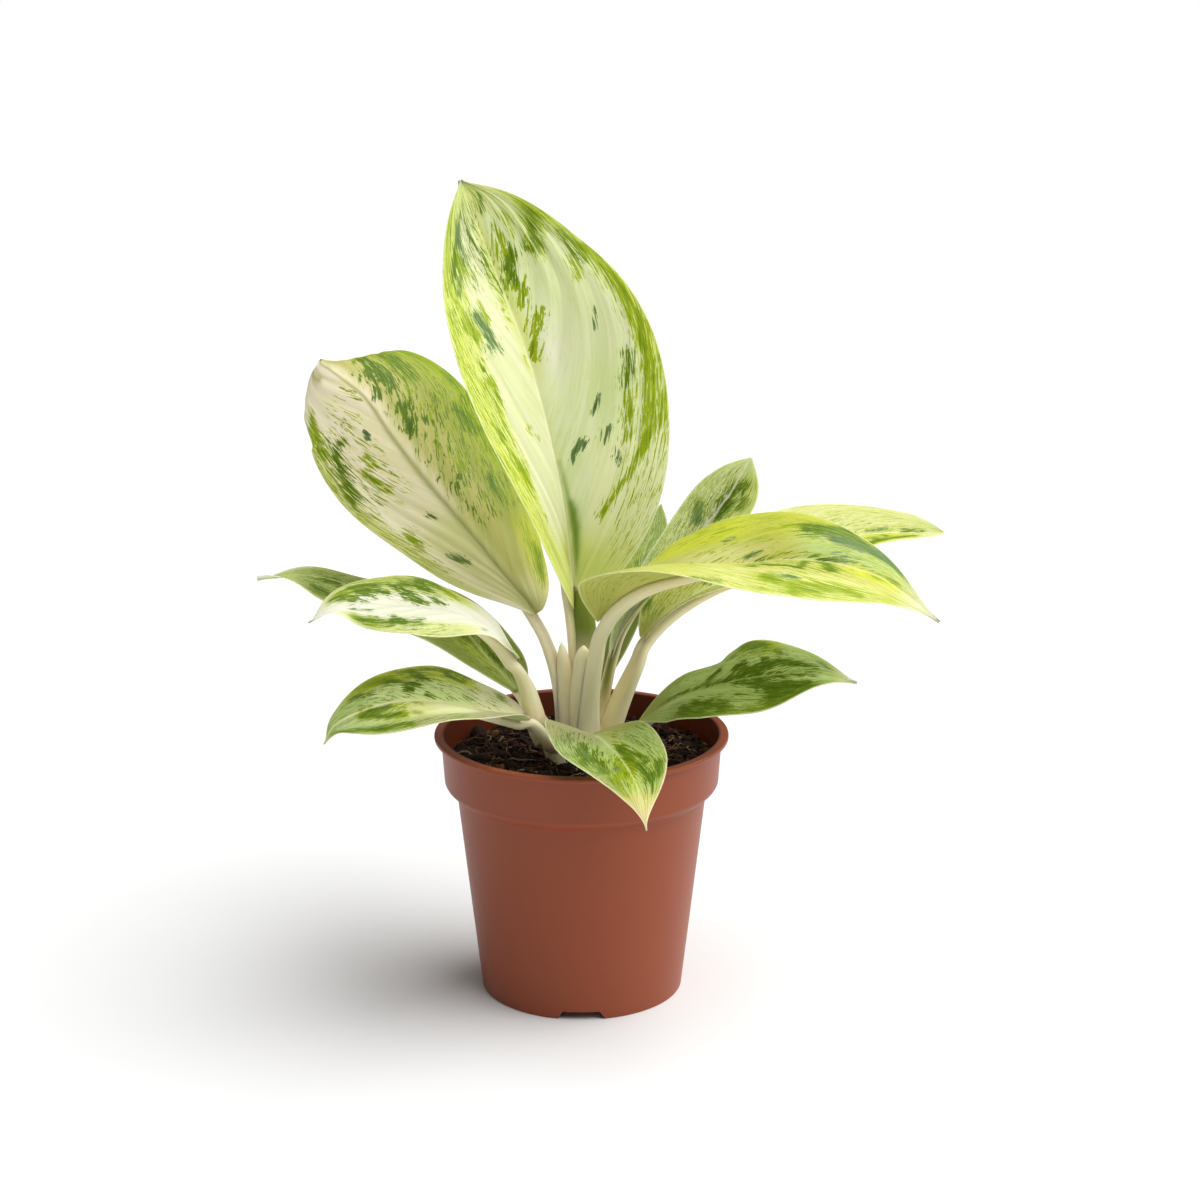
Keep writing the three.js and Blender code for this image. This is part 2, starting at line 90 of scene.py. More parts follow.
# Where the mesh of a blade starts and ends in u, how its columns crowd to midrib and margin,
# and how far its margin bulges
BLADE_START = 0.004
BLADE_END = 0.999
CROWDING = 0.65
MARGIN_BULGE = 0.12


def to_frame(points):
    return (np.asarray(points, float) + POT_AXIS) * MM


def linear(colour):
    """The linear light that shaders work in, for a colour of the palette."""
    value = np.array(PALETTE[colour]) / 100
    return np.where(value <= 0.04045, value / 12.92, ((value + 0.055) / 1.055) ** 2.4)


def add_object(name, data):
    item = bpy.data.objects.new(name, data)
    bpy.context.scene.collection.objects.link(item)
    return item


def mesh_of(points, faces):
    mesh = bpy.data.meshes.new("shape")
    mesh.from_pydata(to_frame(points).tolist(), [], faces)
    return mesh


def add_piece(name, mesh, material):
    """The piece that takes the place of the plain node with this name."""
    piece = add_object("fine_" + name, mesh)
    mesh.name = piece.name
    mesh.materials.append(material)
    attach(piece, "root")
    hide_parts(name)
    return piece


# Leaves. Shapes repeat the plain solids' values: places in mm, angles in degrees. ground is the
# blade's tint and under that of its lower side, both darkened on shaded_left as painted shade,
# channel that of the stalk's groove, and rib the colour, width and amount of its midrib.
#
# Paint lies on the ground in percent: u runs from base 0 to tip 100, and t from the left margin
# -100 over the midrib 0 to the right margin 100. A band is its colour, its amount and its limits
# in u and, where it isn't as wide as the blade, in t. A key that is a colour holds its strokes:
# amount, width in mm and points (u, t). Crisp marks get denser with their amount.
FULL_WIDTH = (-200, 200)
USUAL_LEAF = dict(size=(150, 34), ribs=(0.2, 8), flare=0.35, channel="ivory", sheath_tint="bone")
LEAVES = {}
LEAVES["tall_centre"] = dict(
    slot="leaf_lime", size=(210, 50),
    stalk=[[1, 4, 100], [0, 4, 120], [-1, 3, 145]], stalk_radii=[3.9, 3.5], flare=0.6,
    sheath=[[2, 3, 100], [2, 2, 125], [2, 3, 148], [0, 6, 169]], sheath_radii=[5.2, 3.6],
    sheath_tint="moss",
    midrib=[[-3, 5, 168], [-7, 9, 203], [-14, 15, 236], [-23, 23, 265], [-35, 30, 294],
            [-48, 31, 329]],
    faces=[[30, -8], [30, 27]], half_widths=[44.5, 50.5], rise=[0.78, 0.7], fall=0.78, point=0.02,
    fold=[49, 21, 2.2], arch=-1, lobe=9, wave=(1, 2.5, 0.55), ribs=(0.8, 7.5),
    rib=("cream", 1.6, 0.8), ground="mint", under="mint", channel="sage",
    # Painted shade: pearl dims the left half by the midrib, which faces the lamp; painted light: white
    # lightens the right half, turned from it
    bands=[("pearl", 90, (10, 95), (-66, 0)), ("white", 45, (10, 60), (2, 90)),
        ("white", 50, (50, 97), (2, 90)), ("lemon", 75, (-100, 95), (-200, -62)), ("lemon", 80, (-100, 13)),
        ("cream", 60, (10, 34), (30, 200)), ("lemon", 60, (93, 200)), ("lemon", 70, (50, 97), (-8, 10)),
        ("lime", 30, (10, 90), (-200, -78)), ("lime", 60, (45, 95), (88, 200)),
        # Painted shade: sage darkens the right half where its side ribs are raised
        ("sage", 30, (40, 92), (30, 80)), ("vivid", 40, (15, 97), (-200, -60)),
        ("green", 10, (30, 97), (-200, -60)), ("vivid", 48, (30, 95), (84, 200)),
        ("green", 14, (45, 92), (86, 200)), ("vivid", 22, (8, 45), (60, 200)),
        ("slate", 3, (25, 95), (30, 95)), ("green", 26, (76, 97), (-90, 0)),
        ("vivid", 24, (82, 98), (0, 200))],
    # Painted shade: olive at the base is shade in the fold; the fern strokes along the fold are partly the
    # leaf's own green and partly painted shadow
    olive=[(70, 7, (1, 5), (9, -15))],
    fern=[(95, 2.8, (2, 6), (8, 10), (14, 9), (18, 7)), (95, 1.8, (14, 8), (20, 6)),
        (70, 1.2, (20, 5), (25, 3), (30, 1))],
    green=[(80, 1.8, (79, -80), (86, -72), (92, -50)), (59, 2, (38, -80), (40, -80)),
        (59, 1.6, (68, -90), (71, -90)), (67, 1, (72, -2), (80, -10), (89, -34)),
        (81, 3, (74, 12), (78.5, 22), (80, 27)), (59, 1.5, (86, 22), (88, 27)),
        (67, 2, (92, 20), (95.5, 44)), (74, 3, (79, 50), (83, 64), (87, 85)), (59, 3, (72, 84), (80, 90)),
        (90, 2, (44, 68), (47, 72), (50, 76))],
    slate=[(80, 1.6, (75, -72), (79, -66)), (84, 2.4, (61, -45), (65, -47), (68, -52)),
        (49, 4, (60, -43), (68, -55)), (70, 2.6, (83, -50), (86, -56), (90, -62)),
        (63, 3, (90, -30), (92, -25)), (49, 2, (89, -3), (94, 2)), (70, 0.9, (57.5, 58), (61, 64)),
        (70, 0.7, (39, 36), (43, 46)), (90, 1.5, (30, 14), (33.5, 24)), (80, 1.4, (33, 41), (35, 46)),
        (50, 1.4, (28, 55), (30, 54))],
    vivid=[(67, 2.6, (27, -69), (32, -69)), (67, 2, (47, -60), (52, -64)), (59, 3, (63, -66), (68, -75)),
        (59, 1.6, (66, -40), (71, -44)), (59, 1.6, (36, -25), (39, -32)),
        (52, 3, (65, -13), (70, -8), (83, -2)), (59, 2, (78, -45), (84, -68)),
        (74, 3, (55, 5), (60, 10), (63.5, 19)), (67, 2.4, (67.5, 11), (72, 20)),
        (59, 3.5, (73, 10), (84, 25)), (52, 5, (79, 50), (88, 90)), (67, 1.8, (69, 68), (74, 76)),
        (59, 2, (33, 60), (42, 70)), (74, 1.9, (16.5, 38), (22, 56), (30, 77), (45, 88), (75, 96))],
)
LEAVES["broad_left"] = dict(
    slot="leaf_cream", size=(190, 50),
    stalk=[[-5, 1, 100], [-7, 1, 120], [-11, 1, 139]], stalk_radii=[3.3, 2.4], flare=1,
    sheath=[[-4, 0, 100], [-6, 0, 124], [-8, -1, 147]], sheath_radii=[6, 1.4],
    midrib=[[-18, 4, 157], [-32, 13, 172], [-48, 21, 190], [-64, 27, 208], [-78, 34, 225],
            [-89, 42, 239], [-103, 52, 248], [-108, 62, 249], [-110, 72, 249]],
    faces=[[37, 48], [-11, 41]], half_widths=[33, 49.5], rise=[0.72, 0.66], fall=0.44, point=0.08,
    fold=[18, -8, 1.8], arch=-38, lobe=0, wave=(1.1, 3, 0.1), ribs=(0.4, 8),
    rib=("olive", 2.6, 0.6), ground="shell", under="straw",
    bands=[("lemon", 50, (-100, 35)), ("bone", 90, (-100, 90), (-200, -65)),
        ("khaki", 85, (10, 100), (10, 200)), ("olive", 90, (20, 90), (45, 200)),
        ("lime", 50, (5, 25), (50, 200)), ("green", 18, (28, 88), (10, 200)),
        ("vivid", 28, (30, 88), (30, 200)), ("lemon", 80, (10, 78), (-200, -84)),
        ("green", 8, (30, 85), (35, 90)), ("green", 3, (30, 90), (-60, 0)),
        ("vivid", 40, (7, 30), (60, 200)), ("vivid", 50, (35, 90), (85, 200)),
        ("green", 40, (40, 85), (85, 200)), ("vivid", 36, (20, 86), (-200, -78)),
        ("green", 30, (48, 72), (-200, -60)), ("vivid", 14, (45, 80), (-60, -20))],
    vivid=[(67, 3, (33, -74), (37, -70)), (74, 2.5, (50, -45), (56, -56)), (67, 2, (56, -33), (60, -42)),
        (67, 2.4, (66, -80), (75, -86), (83, -80)), (59, 2.2, (74, -92), (82, -94)),
        (67, 2.2, (43, 38), (47, 42)), (59, 2, (75, -8), (80, -10)), (67, 4.5, (9, 75), (15, 80))],
    green=[(81, 2.8, (53, -86), (57, -80)), (74, 2.4, (60, -76), (64.5, -70), (66, -60)),
        (89, 2, (22.8, -48), (24.5, -52)), (67, 1, (37, -28), (38.5, -33)), (67, 1.6, (38, 15), (42, 30)),
        (74, 1.8, (59, 17), (64, 25), (68, 25)), (89, 1.3, (59.5, 36), (61, 38)),
        (67, 2.4, (73, 14), (80, 26)), (74, 2.4, (73, 30), (85, 40)), (67, 3, (74, 55), (82, 60)),
        (59, 3, (52, 78), (60, 74)), (59, 1.8, (31, 57), (37, 62)), (52, 3, (10, 78), (14, 85))],
    slate=[(56, 2.6, (22.8, -46), (25, -55)), (84, 1, (63.5, -26), (65, -24)),
        (49, 1, (70, -42), (72, -42))],
    olive=[(80, 2.4, (88, -30), (94, -45), (96, -62))],
)
LEAVES["white_left"] = dict(
    slot="leaf_cream",
    stalk=[[-19, -14, 121], [-22, -14, 134]], stalk_radii=[3.6, 3],
    midrib=[[-25, -17, 145], [-35, -22, 158], [-49, -28, 167], [-68, -33, 171], [-92, -38, 173],
            [-105, -45, 168]],
    faces=[[-25, 78], [-47, 41]], half_widths=[18, 21.5], rise=[0.83, 1.08], fall=0.83, point=0.14,
    fold=[28, 7, 2.2], arch=-27, lobe=0, wave=(0.8, 3, 0.41),
    rib=("white", 2, 0.8), ground="white", under="cream",
    bands=[("olive", 50, (-100, 14), (-200, 0)), ("lemon", 70, (25, 90), (35, 200)),
        ("lemon", 70, (30, 86), (-200, -58)), ("lime", 60, (28, 42), (70, 200)),
        ("vivid", 40, (30, 84), (55, 200)), ("green", 22, (40, 84), (30, 200)),
        ("green", 18, (38, 80), (-200, -62)), ("vivid", 20, (45, 86), (-200, -60))],
    green=[(74, 1.8, (53, -57), (57, -62), (63, -60)), (74, 1.4, (60, -66), (63.5, -48)),
        (74, 2, (65, -70), (72, -70), (80, -76)), (74, 1.8, (42, 12), (45, 25)),
        (81, 1.5, (48, 5), (53, 25), (57, 35), (60, 50), (64, 60)), (74, 1.4, (52, 12), (58, 20), (60, 40)),
        (81, 1.6, (65, 30), (70, 42), (77, 50)), (67, 1.2, (70, 20), (77, 33)),
        (74, 1.6, (68, 60), (75, 70), (80, 75)), (81, 3, (79, 15), (82, 25), (83, 40), (86, 50)),
        (96, 1.8, (47.5, 55), (49, 60)), (67, 2.8, (52, 60), (58, 62)),
        (67, 2.4, (42, 80), (47, 90), (50, 80))],
    vivid=[(67, 2.4, (72, -80), (80, -70)), (67, 3, (80, 30), (84, 62)), (74, 2.6, (35, 52), (38, 65))],
    slate=[(84, 0.9, (70, -56), (73, -55)), (56, 1.4, (73, -30), (81, -32)), (84, 1.1, (74, 3), (76, 3)),
        (70, 1.2, (26.5, -70), (28, -75))],
)
LEAVES["low_left"] = dict(
    slot="leaf_mint",
    stalk=[[-14, -15, 110], [-19, -20, 119]], stalk_radii=[2.4, 1.9],
    midrib=[[-24, -22, 121], [-40, -29, 127], [-58, -36, 133], [-76, -42, 134], [-94, -47, 128],
            [-100, -50, 120]],
    faces=[[-14, 86], [-44, 39]], half_widths=[24.5, 21], rise=[0.61, 0.45], fall=0.7, point=0.13,
    fold=[33, 4, 1.1], arch=-14, lobe=3, wave=(0.5, 2.5, 0.09),
    rib=("cream", 2.2, 0.9), ground="mint", under="mint",
    # Painted shade: taupe greys the lower margin near the base, which lies in shade
    bands=[("taupe", 90, (-100, 32), (-200, 0)), ("sage", 70, (50, 78), (-200, -50)),
        ("cream", 90, (27, 62), (-62, -2)), ("celadon", 90, (72, 100)), ("cream", 60, (-100, 8)),
        ("ivory", 60, (-100, 25), (5, 200)), ("taupe", 90, (20, 60), (-200, -72)),
        ("lemon", 50, (45, 66), (-60, 5)), ("lime", 80, (20, 80), (60, 200)),
        ("mint", 30, (68, 92), (-75, 0)), ("green", 45, (30, 95), (-200, -78)),
        ("vivid", 30, (20, 70), (55, 200)), ("green", 8, (20, 85), (68, 200)),
        ("green", 12, (10, 90), (0, 70)), ("slate", 14, (60, 96), (-80, 90)), ("cream", 90, (97.5, 200))],
    vivid=[(74, 2.6, (60, -50), (66, -50), (72, -35), (78, -20)), (74, 2.8, (64, -15), (70, -15), (76, 0)),
        (59, 1.8, (50, -15), (52, -10)), (59, 1.8, (57, -20), (59, -15)),
        (80, 3, (60, 72), (70, 80), (76, 92)), (59, 2.4, (93, -80), (95, -30))],
    green=[(96, 1.8, (62, -50), (67, -50), (72, -38), (78, -24)),
        (104, 1.9, (65, -15), (70, -16), (76, -2)), (67, 1.6, (60, -85), (70, -78)),
        (67, 2, (72, -80), (82, -76), (90, -86)), (96, 1.2, (43, 12), (46, 17)),
        (96, 1.5, (48, 42), (50, 45)), (96, 1.5, (52.5, 33), (55, 36)), (81, 1.1, (52, 50), (54, 50)),
        (81, 1.4, (26, 76), (30, 72), (35, 80)), (74, 1.6, (23, 95), (40, 90), (55, 85)),
        (81, 1.8, (43, 58), (47, 66), (50, 75)), (74, 1.5, (56, 55), (62, 66)),
        (74, 1.8, (70, 45), (74, 55), (79, 72)), (74, 2.4, (8, 66), (9, 76))],
    olive=[(90, 1.5, (54, -56), (56, -50))],
)
LEAVES["shaded_left"] = dict(
    slot="leaf_shade", size=(150, 30),
    stalk=[[-18, -9, 112], [-22, -4, 119]], stalk_radii=[2.2, 1.8],
    midrib=[[-26, 2, 126], [-37, 11, 136], [-54, 21, 151], [-79, 29, 157], [-112, 40, 164],
            [-136, 43, 162]],
    faces=[[-22, 66], [-32, 77]], half_widths=[18.5, 14], rise=[0.86, 0.43], fall=0.94, point=0.11,
    fold=[22, 8, 2.2], arch=-17, lobe=1, wave=(1.7, 2.5, 0.86),
    # Painted shade: the sage ground and lower side and the moss band darken this leaf, which lies in shade
    # behind others
    rib=("mint", 1.2, 0.5), ground="sage", under="sage", channel="sage",
    bands=[("moss", 45, (-100, 50)), ("mint", 40, (50, 200)), ("lime", 40, (5, 30), (-60, 10)),
        ("olive", 50, (-100, 50), (-200, -60)), ("green", 40, (3, 85)),
        ("slate", 20, (10, 95), (-200, -40))],
    green=[(74, 2, (72, -10), (77, -5)), (74, 1.6, (10, 15), (20, 0), (28, -30)),
        (67, 2, (73, -72), (79, -70))],
)
LEAVES["lime_right"] = dict(
    slot="leaf_lime", size=(190, 46),
    stalk=[[3, -6, 100], [3, -7, 120], [5, -8, 142]], stalk_radii=[3.5, 3.1], flare=0.7,
    sheath=[[1, -4, 100], [0, -5, 124], [1, -6, 147]], sheath_radii=[5.6, 3],
    midrib=[[8, -9, 159], [21, -21, 175], [40, -28, 183], [64, -34, 188], [88, -39, 191],
            [115, -42, 185], [139, -42, 167]],
    faces=[[5, 94], [50, 37]], half_widths=[32, 44], rise=[1.07, 0.95], fall=1.28, point=0.08,
    fold=[43, 7, 0.6], arch=-36, lobe=2, wave=(0.8, 2, 0.36), ribs=(0.25, 8),
    rib=("straw", 2, 0.6), ground="citron", under="citron",
    bands=[("lime", 80, (15, 64), (-200, -40)), ("straw", 50, (30, 52), (-30, 30)),
        ("khaki", 50, (45, 82), (-200, 60)), ("ivory", 35, (-100, 20)),
        # Partly painted sheen: celadon is a bluish-grey patch on the far half, partly the leaf's own colour
        # and partly a painted sheen
        ("celadon", 80, (60, 86), (-60, -2)), ("lime", 80, (70, 88), (-10, 30)),
        # Painted shade: the moss and green bands at the base of the near half are partly the leaf's own
        # green and partly painted shade in its fold
        ("butter", 60, (40, 80), (50, 200)), ("pearl", 90, (88, 200)), ("moss", 30, (3, 26), (5, 200)),
        ("green", 14, (3, 24), (5, 200)), ("vivid", 35, (20, 72), (-200, -60)),
        ("vivid", 14, (30, 90), (-60, 200)), ("slate", 14, (66, 92), (-90, -5)),
        ("green", 30, (74, 92), (-200, -50)), ("green", 30, (48, 72), (-10, 45)),
        ("vivid", 35, (50, 84), (66, 200))],
    green=[(130, 4.6, (62, -60), (67, -70), (70, -85)), (130, 4.6, (72, -62), (78, -75), (84, -90)),
        (89, 1.2, (65, -3), (70, -8), (73, -12)), (96, 2.6, (66, 5), (67, 20), (68, 30)),
        (74, 1.5, (62, 12), (61, 40), (60, 45)), (74, 1.2, (49, 45), (53, 40), (59, 38)),
        (81, 1.5, (39, 99), (45, 93))],
    slate=[(110, 3.4, (68, -50), (76, -62), (84, -78)), (70, 3, (79, -90), (83, -85)),
        (84, 0.8, (40, -42), (43, -45)), (98, 1, (46, -10), (50, -18)), (56, 2, (56, 63), (60, 67))],
    vivid=[(89, 3, (79, 10), (82, 0), (85, -15)), (74, 2, (54, 72), (57, 78)),
        (81, 3, (61, 85), (67, 78), (70, 75)), (74, 2, (73, 80), (76, 86))],
)
LEAVES["far_right"] = dict(
    slot="leaf_cream",
    stalk=[[8, 4, 100], [15, 6, 118], [22, 8, 135]], stalk_radii=[3.5, 3], flare=0.7,
    midrib=[[26, 14, 145], [38, 22, 155], [56, 30, 163], [79, 38, 168], [115, 52, 178],
            [153, 58, 178]],
    faces=[[21, 73], [25, 76]], half_widths=[25.5, 16], rise=[0.66, 0.48], fall=0.59, point=0.02,
    fold=[56, 10, 2], arch=-6, lobe=2, wave=(0.8, 2.5, 0.8),
    rib=("cream", 1.6, 0.6), ground="pearl", under="citron",
    bands=[("citron", 90, (-100, 45)), ("lime", 80, (50, 92), (0, 200)),
        ("lemon", 30, (45, 200), (-200, 5)), ("khaki", 30, (45, 95), (-200, 0)), ("sage", 70, (97, 200)),
        ("green", 30, (2, 30)), ("vivid", 30, (50, 95), (0, 200)), ("vivid", 30, (55, 97), (-200, 0))],
    green=[(100, 2.4, (62, 85), (74, 80), (90, 55)), (74, 2, (88, -7), (93, -15)),
        (81, 1.8, (81, 28), (81.5, 36)), (74, 2, (77, 45), (77.5, 52)), (74, 1.8, (6, -85), (8, -75))],
    slate=[(77, 1, (77, -8), (83, -17))],
)
LEAVES["upright_right"] = dict(
    slot="leaf_mint",
    stalk=[[6, 6, 100], [8, 7, 115]], stalk_radii=[2.6, 2.2],
    midrib=[[13, 8, 141], [19, 10, 154], [29, 12, 167], [44, 17, 183], [58, 21, 200],
            [69, 23, 218]],
    faces=[[-7, 37], [2, 28]], half_widths=[15, 15.5], rise=[0.7, 1.09], fall=0.2, point=0.11,
    fold=[71, 12, 0.6], arch=-1, lobe=4, wave=(0.6, 2, 0.5),
    rib=("white", 2.2, 0.95), ground="mint", under="moss", channel="moss",
    bands=[("moss", 80, (-100, 34), (0, 200)), ("lemon", 60, (50, 95), (40, 200)),
        ("mint", 60, (50, 90), (-30, 30)), ("cream", 70, (25, 100), (-80, 10)),
        ("green", 30, (5, 28), (-200, -10)), ("green", 14, (28, 96), (-200, -10)), ("vivid", 20, (40, 96)),
        ("green", 12, (40, 94), (5, 200)), ("slate", 10, (30, 90), (-200, 0))],
    slate=[(84, 2.6, (65, -34), (68, -48), (71, -56))],
    green=[(81, 3, (71, 16), (77, 10)), (81, 3, (78, 6), (86, 3)), (74, 2, (87, 34), (89, 42)),
        (74, 2, (80, 56), (84, 62))],
    white=[(90, 1.4, (30, -3), (60, -5), (80, -5))],
)
LEAVES["low_right"] = dict(
    slot="leaf_mint",
    stalk=[[9, -4, 100], [16, -5, 108]], stalk_radii=[2.5, 1.9],
    midrib=[[24, -7, 116], [39, -15, 128], [52, -23, 135], [67, -30, 141], [90, -37, 145],
            [108, -40, 142]],
    faces=[[24, 72], [25, 41]], half_widths=[22.5, 19.5], rise=[0.94, 0.79], fall=1.08, point=0.11,
    fold=[19, 4, 2.2], arch=-21, lobe=3, wave=(1, 2.5, 0.9), ribs=(0.25, 8),
    rib=("sage", 1.2, 0.5), ground="celadon", under="mint", channel="sage",
    bands=[("olive", 50, (-100, 14)), ("mint", 50, (45, 90), (-70, -30)), ("mint", 40, (60, 90), (10, 50)),
        ("cream", 90, (93, 200)), ("green", 30, (20, 90), (35, 200)), ("vivid", 45, (25, 80), (80, 200)),
        ("green", 45, (25, 85), (84, 200)), ("green", 12, (10, 90), (-200, 0)),
        ("green", 30, (15, 55), (-200, -60)), ("slate", 10, (40, 95), (-200, -40))],
    green=[(104, 2.2, (54, -14), (60, -25), (70, -35), (78, -30), (82, -28)),
        (104, 2.1, (47, -5), (56, -2), (65, 5), (80, 5)), (89, 1.6, (50, 8), (60, 30), (65, 42)),
        (89, 1.6, (58, 8), (66, 30), (75, 45), (80, 50)), (81, 2.2, (50, -88), (56, -86), (60, -80)),
        (81, 2.8, (30, 68), (37, 85)), (81, 1.8, (35, 50), (40, 60)), (81, 2.4, (42, 64), (47, 75)),
        (96, 4.5, (67, 65), (72, 75), (80, 95)), (81, 3.5, (73, 50), (78, 70)),
        (104, 1.8, (35, -25), (39, -40)), (104, 1.6, (48, -30), (52, -37)),
        (104, 1, (60.5, -40), (62, -42)), (96, 1.2, (65.5, -64), (67, -66)),
        (74, 1.2, (12, -10), (25, -9), (50, -5))],
    vivid=[(74, 3.6, (50, -82), (56, -84), (64, -78))],
    slate=[(70, 2.4, (85, -62), (87, -56)), (70, 1.6, (82, 14), (83, 18))],
)
LEAVES["slim_back"] = dict(
    slot="leaf_shade", size=(110, 20),
    stalk=[[3, 9, 100], [5, 11, 112]], stalk_radii=[2.2, 1.8],
    midrib=[[8, 16, 124], [14, 22, 140], [20, 29, 157], [26, 36, 173], [31, 40, 184],
            [33, 43, 194]],
    faces=[[8, 10], [-3, 21]], half_widths=[8, 7], rise=[0.7, 0.7], fall=0.56, point=0.05,
    fold=[30, 10, 2], arch=-5, lobe=0, wave=(0.3, 2, 0), ribs=(0.1, 8),
    rib=("moss", 0.8, 0.6), ground="mint", under="sage", channel="sage",
    # Painted shade: the moss band darkens the lower half of this leaf, which stands in shade at the back
    bands=[("lime", 50, (55, 75), (-200, -20)), ("moss", 80, (-100, 50)), ("green", 30, (30, 200)),
        ("slate", 10, (-100, 200))],
)
LEAVES["front"] = dict(
    slot="leaf_mint", size=(150, 36),
    stalk=[[3, -8, 101], [3, -15, 110]], stalk_radii=[2.3, 1.8],
    midrib=[[3, -24, 115], [7, -40, 120], [14, -58, 119], [20, -74, 115], [23, -84, 109],
            [25, -92, 100]],
    faces=[[21, 73], [16, 21]], half_widths=[19, 22.5], rise=[0.8, 0.5], fall=1, point=0.17,
    fold=[30, 0, 2.2], arch=-4, lobe=8, wave=(0.7, 2.5, 0.49), ribs=(0.3, 8),
    rib=("mint", 1.4, 0.8), ground="celadon", under="mint", channel="sage",
    bands=[("khaki", 60, (-100, 30)), ("taupe", 70, (-100, 35), (5, 200)),
        ("lemon", 50, (10, 40), (-40, 5)), ("lime", 70, (55, 85), (-10, 22)), ("lemon", 80, (78, 95)),
        ("butter", 90, (86, 200)), ("peach", 40, (80, 200)), ("peach", 90, (93, 200)),
        ("peach", 70, (60, 100), (-200, -93)), ("peach", 70, (60, 100), (93, 200)),
        ("green", 26, (25, 82), (-200, -20)), ("green", 26, (25, 78), (25, 200)),
        ("slate", 30, (20, 75), (50, 200)), ("vivid", 20, (50, 85))],
    green=[(96, 2.2, (42, -10), (48, -10), (55, -10)), (81, 2.8, (63, -78), (70, -75)),
        (74, 1.4, (70, -55), (80, -65)), (81, 1.2, (50, -30), (54, -42)), (81, 1.2, (56, -48), (60, -50)),
        (81, 1.8, (60, -25), (68, -38), (73, -42)), (81, 1.2, (35, 50), (50, 60)),
        (81, 1.2, (38, 52), (46, 72)), (89, 1.8, (45, 52), (52, 60)), (81, 1.8, (55, 46), (63, 60)),
        (67, 1, (45, 25), (48, 32)), (74, 1.4, (50, 70), (55, 86))],
    vivid=[(74, 3, (40, -10), (60, -8)), (89, 4, (57, 0), (62, 6), (68, 15)),
        (59, 2.6, (70, 60), (80, 70))],
    slate=[(91, 1.3, (60, 24), (62, 28))],
)


def smoothstep(low, high, value):
    share = np.clip((value - low) / (high - low), 0, 1)
    return share * share * (3 - 2 * share)


def mix(first, second, share):
    return first + (second - first) * share


def unit(vectors):
    return vectors / np.linalg.norm(vectors, axis=-1, keepdims=True)


def square_to(vectors, axis):
    """Unit vectors without their part along the axis."""
    return unit(vectors - (vectors * axis).sum(-1, keepdims=True) * axis)


def catmull(points, shares):
    """Smooth curve through points, at shares 0 to 1 of its even parameter."""
    pts = np.asarray(points, float)
    last = len(pts) - 1
    extended = np.vstack([2 * pts[0] - pts[1], pts, 2 * pts[-1] - pts[-2]])
    place = np.clip(shares, 0, 1) * last
    index = np.minimum(place.astype(int), last - 1)
    w = (place - index)[:, None]
    before, start, end, after = (extended[index + k] for k in range(4))
    leave = (end - before) / 2
    arrive = (after - start) / 2
    cubic = 2 * start - 2 * end + leave + arrive
    square = 3 * end - 3 * start - 2 * leave - arrive
    return start + leave * w + square * w**2 + cubic * w**3


def curve_tangents(points, shares):
    step = 1e-3
    ahead = catmull(points, np.minimum(shares + step, 1))
    behind = catmull(points, np.maximum(shares - step, 0))
    return unit(ahead - behind)


def face_direction(azimuth, elevation):
    turn, rise = math.radians(azimuth), math.radians(elevation)
    return np.array([math.sin(turn) * math.cos(rise), -math.cos(turn) * math.cos(rise), math.sin(rise)])


def outline_share(u, rise, fall, point):
    """Half width of a blade along u, as a share of its widest."""
    def raw(x):
        return x**rise * np.clip(1 - x, 1e-9, None) ** fall * (1 - np.exp(-(1 - x) / point))

    return raw(u) / raw(np.linspace(0.0025, 0.9975, 399)).max()


def leaf_route(leaf):
    """Points up the stalk and along the midrib, and the share of the way where the blade starts."""
    points = leaf["stalk"] + leaf["midrib"]
    return points, len(leaf["stalk"]) / (len(points) - 1)


def blade_frames(leaf, u):
    """Place, direction, upper face and sideways direction of the midrib, and its length in mm."""
    points, base = leaf_route(leaf)
    fine = catmull(points, base + (1 - base) * np.linspace(0, 1, 401))
    steps = np.linalg.norm(np.diff(fine, axis=0), axis=1)
    lengths = np.concatenate([[0], np.cumsum(steps)])

    def place_at(x):
        target = np.clip(x, 0, 1) * lengths[-1]
        return np.stack([np.interp(target, lengths, fine[:, k]) for k in range(3)], -1)

    tangent = unit(place_at(u + TANGENT_STEP) - place_at(u - TANGENT_STEP))
    low, high = (face_direction(*face) for face in leaf["faces"])
    normal = square_to(mix(low, high, u[:, None]), tangent)
    return place_at(u), tangent, normal, np.cross(tangent, normal), lengths[-1]


def vein_root(u, t):
    """Where on the midrib the side vein through (u, t) starts."""
    out = np.abs(t)
    return u - VEIN_SLANT * out * (1 + out**2)


def rib_relief(leaf, u, t):
    """Raised bands between the side veins, in mm, nothing at the midrib and at the margin."""
    height, count = leaf["ribs"]
    out = np.abs(t)
    shift = np.where(t > 0, 0.37, 0.0)
    root = vein_root(u, t)
    drift = 0.25 * np.sin(7 * root + 4 * shift) + 0.1 * np.sin(17 * u + 5 * t)
    wave = np.cos(TURN * (0.75 * count * root + shift + drift))
    wave = wave * (0.65 + 0.35 * np.sin(11 * root + 9 * shift))
    fade = smoothstep(0, 0.25, out) * (1 - smoothstep(0.7, 1, out)) * smoothstep(0, 0.12, u)
    return 0.7 * height * (wave - 0.35 * wave**2) * fade


